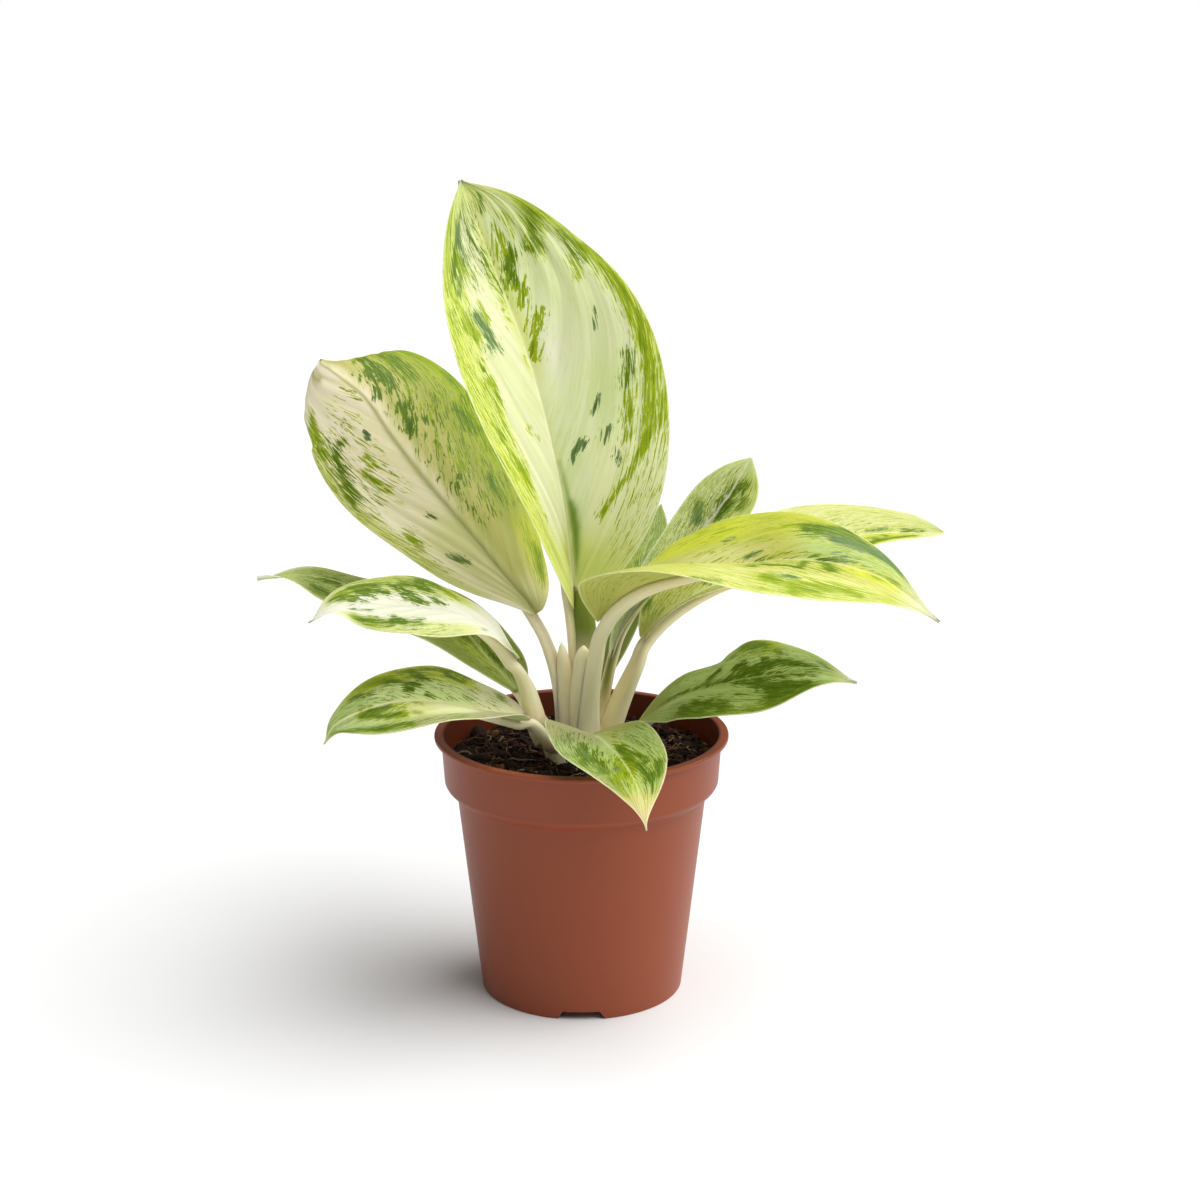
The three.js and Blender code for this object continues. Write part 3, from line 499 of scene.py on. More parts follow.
def blade_surface(leaf, u, t):
    """Upper and under face as (rows, columns, 3) in mm, the reach of each half, and the length."""
    place, tangent, normal, sideways, length = (
        part[:, None] if np.ndim(part) else part for part in blade_frames(leaf, u)
    )
    u, t = u[:, None], t[None, :]
    side = np.where(t < 0, -1.0, 1.0)
    out = np.abs(t)
    left, right = (
        width * outline_share(u, rise, leaf["fall"], leaf["point"]) + TIP_HALF_WIDTH
        for width, rise in zip(leaf["half_widths"], leaf["rise"])
    )
    reach = np.where(side < 0, left, right)
    base_fold, tip_fold, opening = leaf["fold"]
    fold = np.radians(tip_fold + (base_fold - tip_fold) * (1 - u) ** opening)
    arch = math.radians(leaf["arch"])
    slope = fold + arch * out
    across = reach * (np.sin(slope) - np.sin(fold)) / arch
    lift = reach * (np.cos(fold) - np.cos(slope)) / arch
    size, count, start = leaf["wave"]
    shift = np.where(side > 0, RIGHT_WAVE_SHIFT, 0)
    ripple = size * out**2 * np.sin(TURN * (count * u + start + shift))
    pull = leaf["lobe"] * out**2 * (1 - u) ** LOBE_FADE
    skin = np.cos(slope)[..., None] * normal - (side * np.sin(slope))[..., None] * sideways
    middle = (
        place
        + (side * across)[..., None] * sideways
        + (lift + ripple)[..., None] * normal
        - pull[..., None] * tangent
    )
    groove = 0.12 * np.exp(-((out * reach / 1.1) ** 2)) * smoothstep(1, 0.85, u)
    upper = middle + (rib_relief(leaf, u, t) - groove)[..., None] * skin
    depth = mix(BLADE_THICKNESS, EDGE_THICKNESS, out**3) * np.ones_like(reach)
    return upper, upper - depth[..., None] * skin, reach, length


def band_share(value, limits, widest):
    """1 inside a band and 0 outside, with soft edges no wider than half the band."""
    start, end = limits
    soft = min(widest, (end - start) / 2)
    return smoothstep(start - soft, start + soft, value) * smoothstep(end + soft, end - soft, value)


def stroke_share(x, y, points, width):
    """1 on the line through points, all in mm on the blade laid flat, fading over its width."""
    nearest = np.full(np.broadcast(x, y).shape, np.inf)
    for (x0, y0), (x1, y1) in zip(points, points[1:]):
        dx, dy = x1 - x0, y1 - y0
        along = np.clip(((x - x0) * dx + (y - y0) * dy) / (dx * dx + dy * dy), 0, 1)
        nearest = np.minimum(nearest, np.hypot(x - x0 - along * dx, y - y0 - along * dy))
    return np.exp(-((nearest / width) ** 2))


def coat_masks(leaf, u, t, length):
    """Colour and strength over the blade of each band, then of each stroke."""
    for colour, amount, *limits in leaf["bands"]:
        along, across = (*limits, FULL_WIDTH)[:2]
        yield colour, amount / 100 * band_share(u * 100, along, 5) * band_share(t * 100, across, 10)
    scale = np.array([length, 0.8 * np.mean(leaf["half_widths"])])
    for colour in PALETTE:
        for amount, width, *points in leaf.get(colour, []):
            line = np.array(points) / 100 * scale
            yield colour, amount / 100 * stroke_share(u * scale[0], t * scale[1], line, width)


def paint_layers(leaf, u, t, from_midrib, length):
    """Soft tint and densities of the three kinds of crisp marks at each (u, t)."""
    shape = np.broadcast(u, t).shape + (3,)
    tint = np.broadcast_to(linear(leaf["ground"]), shape)
    marks = np.zeros(shape)
    for colour, mask in coat_masks(leaf, u, t, length):
        if colour in MARKS:
            marks[..., MARKS.index(colour)] += mask
        else:
            tint = mix(tint, linear(colour), mask[..., None])
    colour, width, amount = leaf["rib"]
    rib = np.exp(-((from_midrib / (width * (1.1 - u))) ** 2))
    tint = mix(tint, linear(colour), (amount * rib)[..., None])
    return tint, marks * (1 - 0.9 * rib)[..., None]


def grid_faces(numbers):
    """Quads of a tube from the numbers of its points, (rings, sides)."""
    beside = np.roll(numbers, -1, axis=1)
    return np.stack([numbers[:-1], beside[:-1], beside[1:], numbers[1:]], -1).reshape(-1, 4)


def tube_volume(rings):
    """Six times the volume inside a tube of rings, below nothing where it is inside out."""
    centre = rings.reshape(-1, 3).mean(axis=0)
    a = rings[:-1] - centre
    b = np.roll(rings, -1, axis=1)[:-1] - centre
    c = np.roll(rings, -1, axis=1)[1:] - centre
    d = rings[1:] - centre
    return (np.cross(a, b) * c).sum() + (np.cross(a, c) * d).sum()


class Skin:
    """Points, faces and per-point attributes of one piece, gathered tube by tube."""

    def __init__(self):
        self.points, self.quads, self.caps, self.attributes = [], [], [], {}
        self.count = 0

    def add(self, rings, **attributes):
        """A closed tube through rings of points, (rings, sides, 3), with flat ends."""
        numbers = self.count + np.arange(rings[..., 0].size).reshape(rings.shape[:2])
        quads = grid_faces(numbers)
        caps = np.stack([numbers[0, ::-1], numbers[-1]])
        if tube_volume(rings) < 0:
            quads, caps = quads[:, ::-1], caps[:, ::-1]
        self.points.append(rings.reshape(-1, 3))
        self.quads += quads.tolist()
        self.caps += caps.tolist()
        for name, values in attributes.items():
            spread = np.broadcast_to(values, rings.shape).reshape(-1, 3)
            self.attributes.setdefault(name, []).append(spread)
        self.count += numbers.size

    def mesh(self):
        mesh = mesh_of(np.concatenate(self.points), self.quads + self.caps)
        for key, parts in self.attributes.items():
            layer = mesh.attributes.new(key, "FLOAT_VECTOR", "POINT")
            layer.data.foreach_set("vector", np.concatenate(parts).astype(float).ravel())
        mesh.shade_smooth()
        return mesh


def stacked(*values):
    """Three values that broadcast together, as one field of vectors."""
    return np.stack(np.broadcast_arrays(*values), -1)


def even_angles(sides, shift=0.0):
    return (np.arange(sides) + shift) * TURN / sides


def ring_points(centre, across, up, angle, radius, flare=1):
    """Rings round a centre line, as (rings, sides, 3), made wider across by flare."""
    return (
        centre[:, None]
        + (flare * radius * np.cos(angle))[..., None] * across[:, None]
        + (radius * np.sin(angle))[..., None] * up[:, None]
    )


def tube_rings(centre, tangent, beside, angle, radius):
    """Rings round a centre line that nowhere runs along beside."""
    across = unit(np.cross(tangent, beside))
    return ring_points(centre, across, np.cross(across, tangent), angle, radius)


def stalk_tube(leaf):
    """Rings of the stalk, grooved along its upper side, and of the keel that it runs into."""
    points, base = leaf_route(leaf)
    root_radius, neck_radius = leaf["stalk_radii"]
    # The first ring comes twice, and is then pushed down into the soil or the stem
    share = np.concatenate([[0], np.linspace(0, 1, STALK_RINGS)[:-1]])
    tangent = curve_tangents(points, base * share)
    centre = catmull(points, base * share)
    centre[0] -= tangent[0] * ROOT_DEPTH
    _, _, base_normal, base_sideways, _ = blade_frames(leaf, np.array([KEEL_START]))
    centre = centre - base_normal * ((neck_radius + BLADE_THICKNESS) * share**3)[:, None]
    radius = mix(root_radius, neck_radius, np.minimum(1, share * STALK_TAPER_RATE))
    radius = radius * (1 + 0.16 * (1 - share) ** 3)
    flare = 1 + leaf["flare"] * (1 - share) ** 1.5

    u = np.linspace(KEEL_START, KEEL_REACH, KEEL_RINGS)
    place, keel_tangent, normal, keel_sideways, _ = blade_frames(leaf, u)
    keel_radius = neck_radius * (1 - u / KEEL_TIP_SHARE)
    keel_centre = place - normal * (keel_radius * KEEL_SINK + BLADE_THICKNESS)[:, None]
    centre = np.vstack([centre, keel_centre])
    tangent = np.vstack([tangent, keel_tangent])
    sideways = np.vstack([np.repeat(base_sideways, len(share), axis=0), keel_sideways])
    radius, flare, stalk_share, keel_share = (
        np.concatenate(parts)[:, None]
        for parts in ([radius, keel_radius], [flare, u**0], [share, u**0], [share * 0, u])
    )

    across = square_to(sideways, tangent)
    angle = even_angles(STALK_SIDES, 0.5)
    turned = np.angle(np.exp(1j * (angle - np.pi / 2)))
    hollow = smoothstep(0.25, 0.9, stalk_share) * (keel_share == 0)
    groove = 1 - GROOVE_DEPTH * hollow * np.exp(-((turned / GROOVE_HALF_ANGLE) ** 2))
    ridges = 1 + 0.02 * np.sin(9 * angle + 3 * stalk_share)
    up = np.cross(across, tangent)
    rings = ring_points(centre, across, up, angle, radius * groove * ridges, flare)
    return rings, stalk_share, keel_share, turned


# What lines holds off the blade: far from midrib and margin, and neither face
OFF_BLADE = (50.0, 50.0, -1.0)


def stalk_skin(leaf, skin, seed):
    rings, stalk_share, keel_share, turned = stalk_tube(leaf)
    steps = np.linalg.norm(np.diff(rings.mean(axis=1), axis=0), axis=1)
    along = np.concatenate([[0], np.cumsum(steps)])[:, None]
    channel = smoothstep(0.45, 0.8, stalk_share) * np.exp(-((turned / 0.9) ** 4))
    tint = linear("bone")
    for colour, mask in [
        (leaf["channel"], 0.9 * channel),
        ("peach", 0.35 * smoothstep(0.25, 0, stalk_share)),
        (leaf["under"], 0.6 * smoothstep(0.05, 0.6, keel_share)),
    ]:
        tint = mix(tint, linear(colour), mask[..., None])
    skin.add(rings, vein=stacked(turned * 4, along, seed), tint=tint, marks=0, lines=OFF_BLADE)


def sheath_skin(leaf, skin, seed):
    """The sheath that wraps the foot of a stalk, round at its tip."""
    share = np.linspace(0, 1, 24)[:, None]
    route = leaf["sheath"]
    root, tip = leaf["sheath_radii"]
    radius = mix(root, tip, share**1.6) * np.sqrt(1 - 0.98 * np.clip(share - 0.85, 0, 1) ** 2 / 0.0225)
    angle = even_angles(20, 0.5)
    centre, tangent = catmull(route, share[:, 0]), curve_tangents(route, share[:, 0])
    rings = tube_rings(centre, tangent, [0.0, -1.0, 0.0], angle, radius)
    green = smoothstep(0.45, 0.75, share)[..., None]
    tint = mix(linear("bone"), linear(leaf["sheath_tint"]), green)
    vein = stacked(angle * 4, share * 30, seed + 3)
    skin.add(rings, vein=vein, tint=tint, marks=0, lines=OFF_BLADE)


def blade_skin(leaf, skin, seed):
    rows, columns = leaf["size"]
    even = np.linspace(0, 1, rows)
    u = mix(BLADE_START, BLADE_END, (even + (1 - np.cos(np.pi * even)) / 2) / 2)
    s = np.linspace(-1, 1, 2 * columns + 1)
    t = s - CROWDING * np.sin(TURN * s) / TURN
    upper, under, reach, length = blade_surface(leaf, u, t)
    outward = unit(upper[:, [0, -1]] - upper[:, [1, -2]])
    rim = (upper[:, [0, -1]] + under[:, [0, -1]]) / 2 + MARGIN_BULGE * outward
    rings = np.concatenate([upper, rim[:, 1:], under[:, ::-1], rim[:, :1]], axis=1)
    below = np.concatenate([0 * t, [0], 0 * t + 1, [0]])
    reach = np.concatenate([reach, reach[:, -1:], reach[:, ::-1], reach[:, :1]], axis=1)
    t = np.concatenate([t, [1.0], t[::-1], [-1.0]])
    u = u[:, None]
    from_midrib = np.abs(t) * reach
    grain = (COARSE_HALF_WIDTH / np.mean(leaf["half_widths"])) ** 0.6
    root = vein_root(u, t) * length * grain + np.sign(t) * HALVES_APART
    vein = stacked(root, (u * length + from_midrib * 0.7) * grain, seed)
    margin = (1 - np.abs(t)) * reach + 60 * np.maximum(0.02 - u, 0)
    tint, marks = paint_layers(leaf, u, t, from_midrib, length)
    tint = mix(tint, linear(leaf["under"]), (0.65 * below)[..., None])
    marks = marks * (1 - 0.45 * below)[..., None]
    skin.add(rings, vein=vein, tint=tint, marks=marks, lines=stacked(from_midrib, margin, below))


class Value:
    """An output of a node, so that a material can be written as formulas."""

    def __init__(self, tree, socket):
        self.tree, self.socket = tree, socket

    def __add__(self, other):
        return self.tree.math("ADD", self, other)

    def __sub__(self, other):
        return self.tree.math("SUBTRACT", self, other)

    def __mul__(self, other):
        return self.tree.math("MULTIPLY", self, other)


class Tree:
    """Short words for building a material's nodes."""

    def __init__(self, name):
        self.material = bpy.data.materials.new(name)
        self.material.use_nodes = True
        self.nodes = self.material.node_tree.nodes
        self.shader = next(node for node in self.nodes if node.type == "BSDF_PRINCIPLED")

    def put(self, sockets, values):
        """Links a value to its socket, or sets a constant on the socket itself."""
        for key, value in values.items():
            if isinstance(value, Value):
                self.material.node_tree.links.new(value.socket, sockets[key])
            elif sockets[key].type == "RGBA":
                sockets[key].default_value = (*value, 1)
            else:
                sockets[key].default_value = value

    def surface(self, values):
        self.put(self.shader.inputs, values)
        return self.material

    def node(self, kind, inputs, **settings):
        node = self.nodes.new("ShaderNode" + kind)
        for key, value in settings.items():
            setattr(node, key, value)
        self.put(node.inputs, inputs)
        return [Value(self, socket) for socket in node.outputs]

    def math(self, operation, *values):
        return self.node("Math", dict(enumerate(values)), operation=operation)[0]

    def attribute(self, name):
        _, vector, *_ = self.node("Attribute", {}, attribute_name=name)
        return vector

    def split(self, vector):
        return self.node("SeparateXYZ", {0: vector})

    def position(self):
        """Place in the frame, in metres."""
        return self.node("TexCoord", {})[3]

    def stretch(self, vector, scale):
        return self.node("VectorMath", {0: vector, 1: scale}, operation="MULTIPLY")[0]

    def noise(self, vector, scale=1.0, detail=3.0, roughness=0.55, distortion=0.0):
        """Noise between about 0 and 1; three scales stretch it."""
        if np.ndim(scale):
            vector, scale = self.stretch(vector, scale), 1.0
        return self.node("TexNoise", {
            "Vector": vector, "Scale": scale, "Detail": detail, "Roughness": roughness,
            "Distortion": distortion,
        })[0]

    def step(self, value, low, high):
        inputs = {"Value": value, "From Min": low, "From Max": high}
        return self.node("MapRange", inputs, interpolation_type="SMOOTHSTEP")[0]

    def blend(self, first, second, share, mode="MIX"):
        inputs = {0: share, 6: first, 7: second}
        return self.node("Mix", inputs, data_type="RGBA", blend_type=mode)[2]

    def bump(self, height, strength, distance):
        inputs = {"Strength": strength, "Distance": distance, "Height": height}
        return self.node("Bump", inputs)[0]


def leaf_material():
    """Marbled blade: ragged flecks that follow the side veins, and a pale margin."""
    tree = Tree("marbled_leaf")
    vein = tree.attribute("vein")
    _, to_margin, side = tree.split(tree.attribute("lines"))
    densities = tree.split(tree.attribute("marks"))
    streaks = tree.noise(vein, (0.14, 0.015, 1), roughness=0.5, distortion=0.3)
    flecks = tree.noise(vein, (0.34, 0.1, 1.7), roughness=0.6, distortion=0.8)
    second = tree.noise(vein, (0.38, 0.11, 3.1), roughness=0.6, distortion=0.8)
    specks = tree.noise(vein, (1.8, 0.7, 2.3), roughness=0.6)
    rough = (specks - 0.5) * 0.6

    # Two thin veils that leave the stalks nearly alone; the first darkens streaks between the side veins,
    # partly the blade's own colour and partly painted shade of its raised bands
    blade = tree.step(side, -1, 0) * 0.8 + 0.2
    between = tree.step(streaks, 0.42, 0.58) * blade
    veiled = tree.step(flecks, 0.5, 0.7) * blade
    colour = tree.blend(tree.attribute("tint"), (0.88, 0.93, 0.78), between * 0.8, "MULTIPLY")
    colour = tree.blend(colour, (0.89, 0.91, 0.66), veiled * 0.5, "MULTIPLY")

    # Each kind of mark, its pattern and gain, the colour of its core and of its soft rim
    shades = [
        ("vivid", flecks, 4.2, "green", "lime"),
        ("green", second, 4.2, "dark", "vivid"),
        ("slate", flecks, -4.2, "dark", "sage"),
    ]
    for density, (shade, pattern, gain, core, halo) in zip(densities, shades):
        level = (pattern - 0.5) * gain + rough + tree.math("MINIMUM", density, 1.05)
        present = tree.step(density, 0.02, 0.1)
        soft = tree.step(level, 0.2, 0.55) * present
        cover = tree.step(level, 0.46, 0.6) * present
        deep = tree.step(level, 0.85, 1.5)
        colour = tree.blend(colour, linear(halo), soft * 0.4)
        paint = tree.blend(linear(shade), linear(core), deep * 0.85)
        colour = tree.blend(colour, paint, cover)
    edge = tree.step(to_margin, 0.7, 0.15)
    return tree.surface({
        "Base Color": tree.blend(colour, linear("cream"), edge * 0.5),
        "Roughness": 0.5,
        "Specular IOR Level": 0.2,
        "Subsurface Weight": 0.8,
        "Subsurface Radius": (1.0, 1.0, 0.95),
        "Subsurface Scale": 0.002,
        "Normal": tree.bump(flecks + specks * 0.4, 0.25, 0.0003),
    })


leaf_look = leaf_material()
for number, (name, leaf) in enumerate(LEAVES.items()):
    leaf = {**USUAL_LEAF, **leaf}
    skin = Skin()
    seed = number * 7.3 + 1
    blade_skin(leaf, skin, seed)
    stalk_skin(leaf, skin, seed)
    if "sheath" in leaf:
        sheath_skin(leaf, skin, seed)
    add_piece("leaf_" + name, skin.mesh(), leaf_look)


# Pot: radius and height of its corners, from under the floor up the outside and down the inside
POT_SECTION = [
    (0, 4), (40.2, 4), (40.2, 0), (41.4, 0), (51, 84), (55.2, 87.5), (56, 89), (57.2, 107),
    (59.6, 107), (60, 107.5), (60, 108.5), (59.6, 109), (56, 109), (54.8, 89), (49.8, 84.5),
    (40.8, 5.2), (0, 5.2),
]
POT_SIDES = 192
CORNER_RADIUS = 0.6
CORNER_STEPS = 4
# Three notches in the foot, each an outline of (across, height) cut between two distances from
# the axis, and six holes in the floor
NOTCH = [(-10.3, -1), (10.3, -1), (7.5, 3.5), (-7.5, 3.5)]
NOTCH_REACH = (31.4, 51.4)
HOLE_RADIUS = 4
HOLE_DISTANCE = 28
HOLE_HEIGHTS = (-1, 9)
HOLE_SIDES = 32
# Painted shade on the wall's inner face: it is darker inside a cone that runs between its two faces, and
# above this height
CONE_FOOT_RADIUS = 50
CONE_LEAN = 0.0633
INNER_SHADE_FROM = 90


def rounded(section, radius, steps):
    """The section with each corner turned by a short curve."""
    points = [np.array(point, float) for point in section]
    result = points[:1]
    for before, corner, after in zip(points, points[1:], points[2:]):
        start, end = (
            corner + unit(side - corner) * min(radius, np.linalg.norm(side - corner) * 0.45)
            for side in (before, after)
        )
        for w in np.linspace(0, 1, steps + 1):
            result.append((1 - w) ** 2 * start + 2 * w * (1 - w) * corner + w**2 * end)
    return np.array(result + points[-1:])


def turned_mesh(section, sides):
    """A section that starts and ends on the axis, turned round it."""
    angle = even_angles(sides)
    radius, height = section[1:-1].T[..., None]
    rings = stacked(radius * np.cos(angle), radius * np.sin(angle), height)
    numbers = np.arange(rings[..., 0].size).reshape(-1, sides)
    beside = np.roll(numbers, -1, axis=1)
    points = rings.reshape(-1, 3).tolist() + [(0, 0, section[0][1]), (0, 0, section[-1][1])]
    faces = grid_faces(numbers).tolist()
    faces += [(numbers.size, b, a) for a, b in zip(numbers[0].tolist(), beside[0].tolist())]
    faces += [(numbers.size + 1, a, b) for a, b in zip(numbers[-1].tolist(), beside[-1].tolist())]
    return mesh_of(points, faces)


def prism(near, far):
    """A solid between two outlines with as many points."""
    n = len(near)
    faces = [range(n - 1, -1, -1), range(n, 2 * n)]
    faces += [(k, (k + 1) % n, (k + 1) % n + n, k + n) for k in range(n)]
    return add_object("cutter", mesh_of([*near, *far], faces))


def notch(turn):
    cos, sin = math.cos(turn), math.sin(turn)
    return prism(*(
        [(across * cos + depth * sin, across * sin - depth * cos, height) for across, height in NOTCH]
        for depth in NOTCH_REACH
    ))


def hole(turn):
    x, y = HOLE_DISTANCE * math.cos(turn), HOLE_DISTANCE * math.sin(turn)
    return prism(*(
        [(x + HOLE_RADIUS * math.cos(a), y + HOLE_RADIUS * math.sin(a), z) for a in even_angles(HOLE_SIDES)]
        for z in HOLE_HEIGHTS
    ))


def cut(target, cutters):
    """Take cutters out of target, then remove them."""
    for cutter in cutters:
        modifier = target.modifiers.new("cut", "BOOLEAN")
        modifier.operation = "DIFFERENCE"
        modifier.solver = "EXACT"
        modifier.object = cutter
    evaluated = target.evaluated_get(bpy.context.evaluated_depsgraph_get())
    result = bpy.data.meshes.new_from_object(evaluated)
    target.modifiers.clear()
    target.data = result
    for cutter in cutters:
        bpy.data.objects.remove(cutter)


def pot_material():
    tree = Tree("terracotta_plastic")
    position = tree.position()
    cloud = tree.noise(position, 18)
    fine = tree.noise(position, 900, detail=2)
    streak = tree.noise(position, (60, 60, 4), detail=2)
    base = tree.blend(linear("pot"), (0.30, 0.095, 0.05), cloud * 0.35)
    base = tree.blend(base, (0.9, 0.85, 0.8), streak * 0.25, "MULTIPLY")
    x, y, z = tree.split(tree.stretch(position, (1 / MM,) * 3))
    x, y = x - POT_AXIS[0], y - POT_AXIS[1]
    wall = tree.math("SQRT", x * x + y * y) - z * CONE_LEAN
    # Painted shade: the inner face of the wall above the soil is darkened
    above = tree.step(z, INNER_SHADE_FROM, INNER_SHADE_FROM + 1)
    inside = tree.step(wall, CONE_FOOT_RADIUS + 0.2, CONE_FOOT_RADIUS - 0.2) * above
    return tree.surface({
        "Base Color": tree.blend(base, (0.5, 0.42, 0.36), inside, "MULTIPLY"),
        "Roughness": cloud * 0.14 + 0.36,
        "Specular IOR Level": 0.3,
        "Normal": tree.bump(fine + streak * 0.6, 0.12, 0.0002),
    })


pot_section = rounded(POT_SECTION, CORNER_RADIUS, CORNER_STEPS)
pot = add_piece("pot", turned_mesh(pot_section, POT_SIDES), pot_material())
cut(pot, [notch(turn) for turn in even_angles(3)] + [hole(turn) for turn in even_angles(6, 0.5)])
pot.data.shade_smooth()
pot.data.set_sharp_from_angle(angle=math.radians(40))


# Soil: a bed that reaches down inside the pot, with crumbs and fibres strewn over it
rng = np.random.default_rng(11)
SOIL_RADIUS = 54.8
SOIL_LEVEL = 98
# Crumbs and fibres stay inside this radius
STREWN_RADIUS = 54.5
CRUMBS = 2000
FIBRES = 380
# Radius and height of the bed's rings below its edge
SKIRT = [(54.0, 89), (49.4, 84.8), (40.4, 5.5)]


def soil_height(x, y):
    waves = np.sin(x * 0.23 + 1) * np.cos(y * 0.19) + 0.6 * np.sin(x * 0.41 - y * 0.37 + 2)
    return SOIL_LEVEL + 0.72 * waves


def soil_material():
    tree = Tree("potting_mix")
    grain = tree.noise(tree.position(), 700, detail=4, roughness=0.7)
    light = tree.step(grain, 0.35, 0.75)
    return tree.surface({
        "Base Color": tree.blend(tree.attribute("tint"), (0.5, 0.45, 0.4), light, "MULTIPLY"),
        "Roughness": 0.9,
        "Specular IOR Level": 0.25,
        "Normal": tree.bump(grain, 0.6, 0.0008),
    })


def ground_skin(skin):
    """The bed itself: a rough disc with a deep skirt, closed below."""
    sides = 180
    angle = even_angles(sides)
    rings = []
    for radius in [0.3, *np.linspace(1.2, SOIL_RADIUS, 60)]:
        x, y = radius * np.cos(angle), radius * np.sin(angle)
        rough = 1.1 * np.sin(1.3 * x + 2 * np.sin(0.7 * y)) * np.sin(1.1 * y + 1.7 * np.sin(0.9 * x))
        rough = rough + 0.5 * np.sin(3.1 * x + 1.9 * y) + 0.5 * rng.normal(size=sides) * (radius > 2)
        edge = 1.2 * smoothstep(SOIL_RADIUS - 5, SOIL_RADIUS, radius)
        rings.append(stacked(x, y, soil_height(x, y) + rough * 0.8 - edge))
    for radius, height in SKIRT:
        rings.append(stacked(radius * np.cos(angle), radius * np.sin(angle), height))
    skin.add(np.array(rings), tint=linear("soil"))


def strewn(reach):
    """A random place on the bed: how far from the axis, x and y."""
    radius = SOIL_RADIUS * reach * math.sqrt(rng.random())
    angle = rng.random() * TURN
    return radius, radius * math.cos(angle), radius * math.sin(angle)


def crumb_skin(skin, count):
    """Lumps and chips of bark strewn over the bed."""
    rows, sides = 5, 7
    tilt = math.pi * (np.arange(rows)[:, None] + 0.35) / (rows - 0.3)
    angle = even_angles(sides)
    for _ in range(count):
        radius, x, y = strewn(0.97)
        size = rng.gamma(3.0, 0.34) + 0.3
        wide, deep, tall = size * rng.uniform(0.5, 1.3, 3)
        turn = rng.random() * math.pi
        cos, sin = math.cos(turn), math.sin(turn)
        out = rng.uniform(0.75, 1.15, (rows, sides)) * np.sin(tilt)
        px, py = wide * out * np.cos(angle), deep * out * np.sin(angle)
        pz = tall * 0.6 * np.cos(tilt) + rng.normal(0, 0.4) * px
        limit = min(1.0, STREWN_RADIUS / (radius + size))
        rings = stacked(
            px * cos - py * sin + x * limit,
            px * sin + py * cos + y * limit,
            pz + soil_height(x, y) + 0.3 * size,
        )
        kind = rng.choice(["soil", "bark", "fibre", "chalk"], p=[0.6, 0.28, 0.11, 0.01])
        skin.add(rings, tint=linear(kind) * rng.uniform(0.6, 1.5))


def fibre_skin(skin, count):
    """Bent root and wood fibres lying over the crumbs."""
    steps = 9
    angle = even_angles(5)
    taper = np.sin(np.linspace(0.5, math.pi - 0.3, steps))[:, None] ** 0.5
    for _ in range(count):
        here = np.array(strewn(0.85)[1:])
        heading = rng.random() * TURN
        length = rng.uniform(5, 18)
        bend = rng.normal(0, 0.25)
        points = []
        for step in range(steps):
            rise = 1.2 + 1.5 * math.sin(math.pi * step / (steps - 1)) * rng.uniform(0.4, 1)
            points.append([*here, soil_height(*here) + rise])
            heading += bend + rng.normal(0, 0.18)
            ahead = here + length / steps * np.array([math.cos(heading), math.sin(heading)])
            if np.hypot(*ahead) > STREWN_RADIUS - 1:
                heading += math.pi / 2
            else:
                here = ahead
        points = np.array(points) + rng.normal(0, 1e-3, (steps, 3))
        tangent = unit(np.gradient(points, axis=0))
        rings = tube_rings(points, tangent, [0.0, 0.0, 1.0], angle, rng.uniform(0.12, 0.38) * taper)
        kind = rng.choice(["fibre", "bark", "chalk"], p=[0.5, 0.38, 0.12])
        skin.add(rings, tint=linear(kind) * rng.uniform(0.5, 1.3))


soil_skin = Skin()
ground_skin(soil_skin)
crumb_skin(soil_skin, CRUMBS)
fibre_skin(soil_skin, FIBRES)
add_piece("soil", soil_skin.mesh(), soil_material())


# Stems: radius at the foot and at the top, and points on the way up
STEMS = dict(
    stem_main=([6, 3], [[3, 1, 86], [3, 1, 100], [3, 2, 128]]),
    stem_left=([4, 3.4], [[-9, -12, 86], [-10, -12, 100], [-14, -13, 112], [-19, -14, 121]]),
)


def stem_material():
    tree = Tree("pale_stem")
    streaks = tree.noise(tree.attribute("vein"), (0.9, 0.08, 1))
    dark = tree.step(streaks, 0.4, 0.7)
    return tree.surface({
        "Base Color": tree.blend(tree.attribute("tint"), (0.8, 0.82, 0.66), dark, "MULTIPLY"),
        "Roughness": 0.45,
        "Subsurface Weight": 0.3,
        "Subsurface Radius": (1.0, 0.9, 0.5),
        "Subsurface Scale": 0.003,
        "Normal": tree.bump(streaks, 0.3, 0.0003),
    })


def stem_skin(radii, route, seed):
    share = np.linspace(0, 1, 40)
    angle = even_angles(36)
    rough = 1 + 0.03 * np.sin(5 * angle + 6 * share[:, None])
    radius = mix(*radii, share)[:, None] * rough
    centre, tangent = catmull(route, share), curve_tangents(route, share)
    rings = tube_rings(centre, tangent, [0.0, 1.0, 0.0], angle, radius)
    skin = Skin()
    skin.add(rings, vein=stacked(angle * 4, share[:, None] * 40, seed), tint=linear("ivory"))
    return skin


stem_look = stem_material()
for number, (name, (radii, route)) in enumerate(STEMS.items()):
    add_piece(name, stem_skin(radii, route, 40.0 + number).mesh(), stem_look)


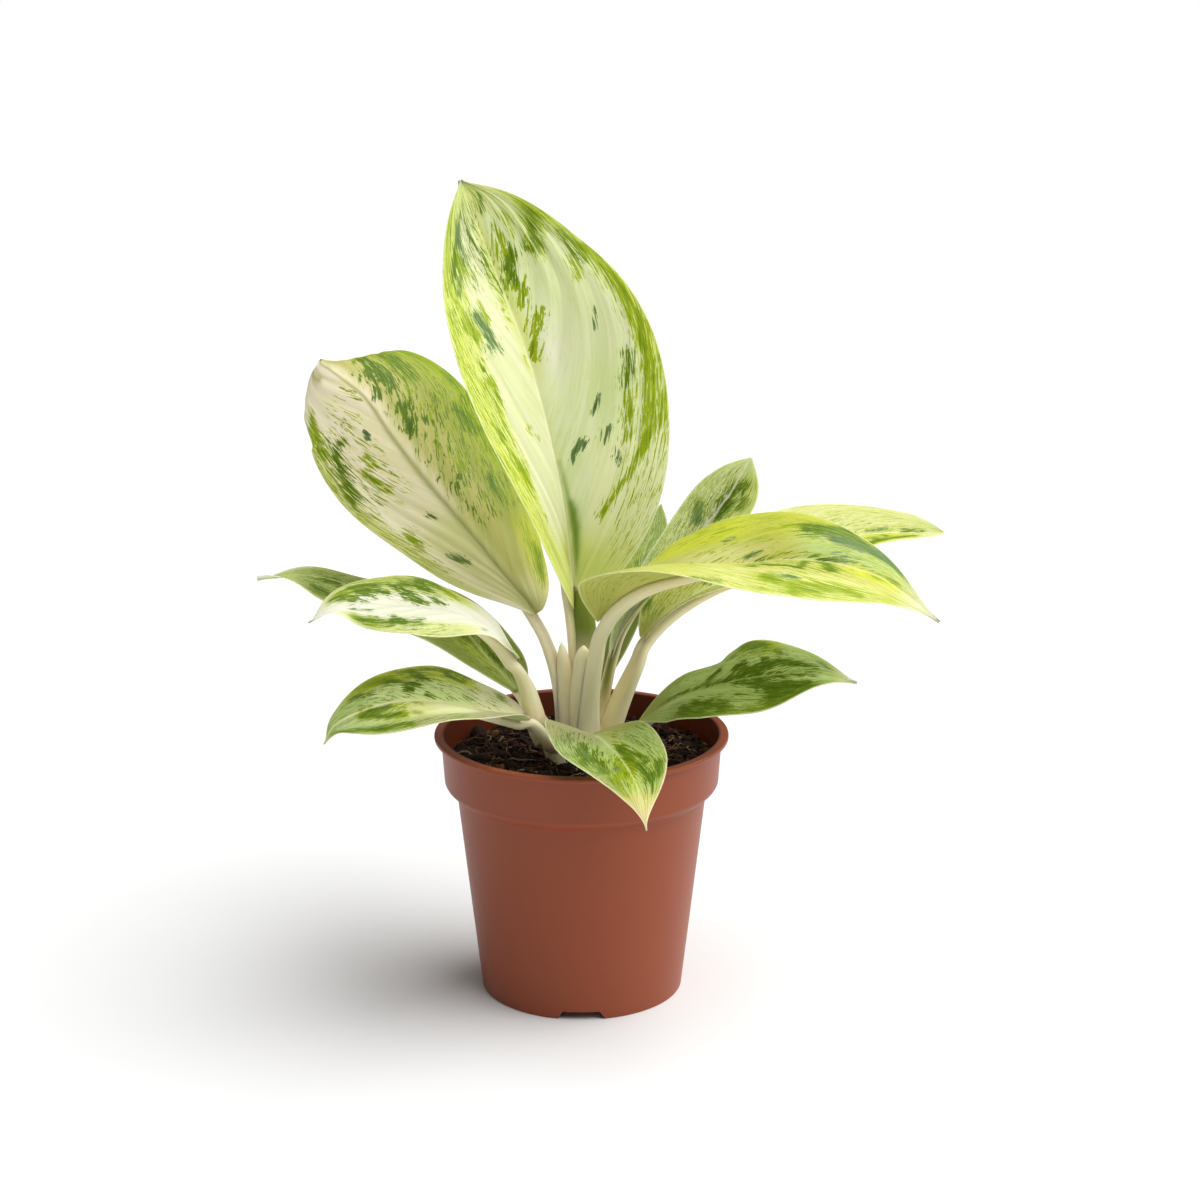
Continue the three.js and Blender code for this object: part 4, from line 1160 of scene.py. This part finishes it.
# Studio: pale floor, bright surroundings, one broad lamp from the right
FLOOR_HALF = 3.0
FLOOR_GREY = 0.76
LAMP_STRENGTH = 4.8
LAMP_BREADTH = math.radians(76)
LAMP_TURN = (math.radians(33), 0, math.radians(85))
SURROUND_LIGHT = 0.25


def add_floor():
    corners = [(FLOOR_HALF * x, FLOOR_HALF * y, 0) for x, y in [(-1, -1), (1, -1), (1, 1), (-1, 1)]]
    mesh = bpy.data.meshes.new("floor")
    mesh.from_pydata(corners, [], [(0, 1, 2, 3)])
    floor = add_object("floor", mesh)
    tree = Tree("white_floor")
    look = tree.surface({
        "Base Color": (FLOOR_GREY,) * 3,
        "Roughness": 0.9,
        "Specular IOR Level": 0.0,
    })
    mesh.materials.append(look)


def add_lights():
    lamp = bpy.data.lights.new("key", "SUN")
    lamp.energy = LAMP_STRENGTH
    lamp.angle = LAMP_BREADTH
    add_object("key", lamp).rotation_euler = LAMP_TURN

    world = bpy.data.worlds.new("studio")
    bpy.context.scene.world = world
    world.use_nodes = True
    nodes, links = world.node_tree.nodes, world.node_tree.links
    # The camera sees white all round; the plant gets less light from it
    path = nodes.new("ShaderNodeLightPath")
    strength = nodes.new("ShaderNodeMapRange")
    strength.inputs["To Min"].default_value = SURROUND_LIGHT
    strength.inputs["To Max"].default_value = 1.0
    links.new(path.outputs["Is Camera Ray"], strength.inputs["Value"])
    links.new(strength.outputs[0], nodes["Background"].inputs["Strength"])
    nodes["Background"].inputs["Color"].default_value = (1, 1, 1, 1)


def add_camera():
    toward = np.array([0.0, -math.cos(CAMERA_ELEVATION), math.sin(CAMERA_ELEVATION)])
    lens = bpy.data.cameras.new("photographer")
    lens.sensor_fit = "HORIZONTAL"
    lens.sensor_width = SENSOR_WIDTH
    lens.lens = FOCAL_SHARE * SENSOR_WIDTH
    lens.clip_start = 0.01
    camera = add_object("photographer", lens)
    camera.location = to_frame(CAMERA_TARGET + CAMERA_DISTANCE * toward)
    camera.rotation_euler = (math.pi / 2 - CAMERA_ELEVATION, 0, 0)
    bpy.context.scene.camera = camera


add_floor()
add_lights()
add_camera()
bpy.context.scene.view_settings.view_transform = "Standard"
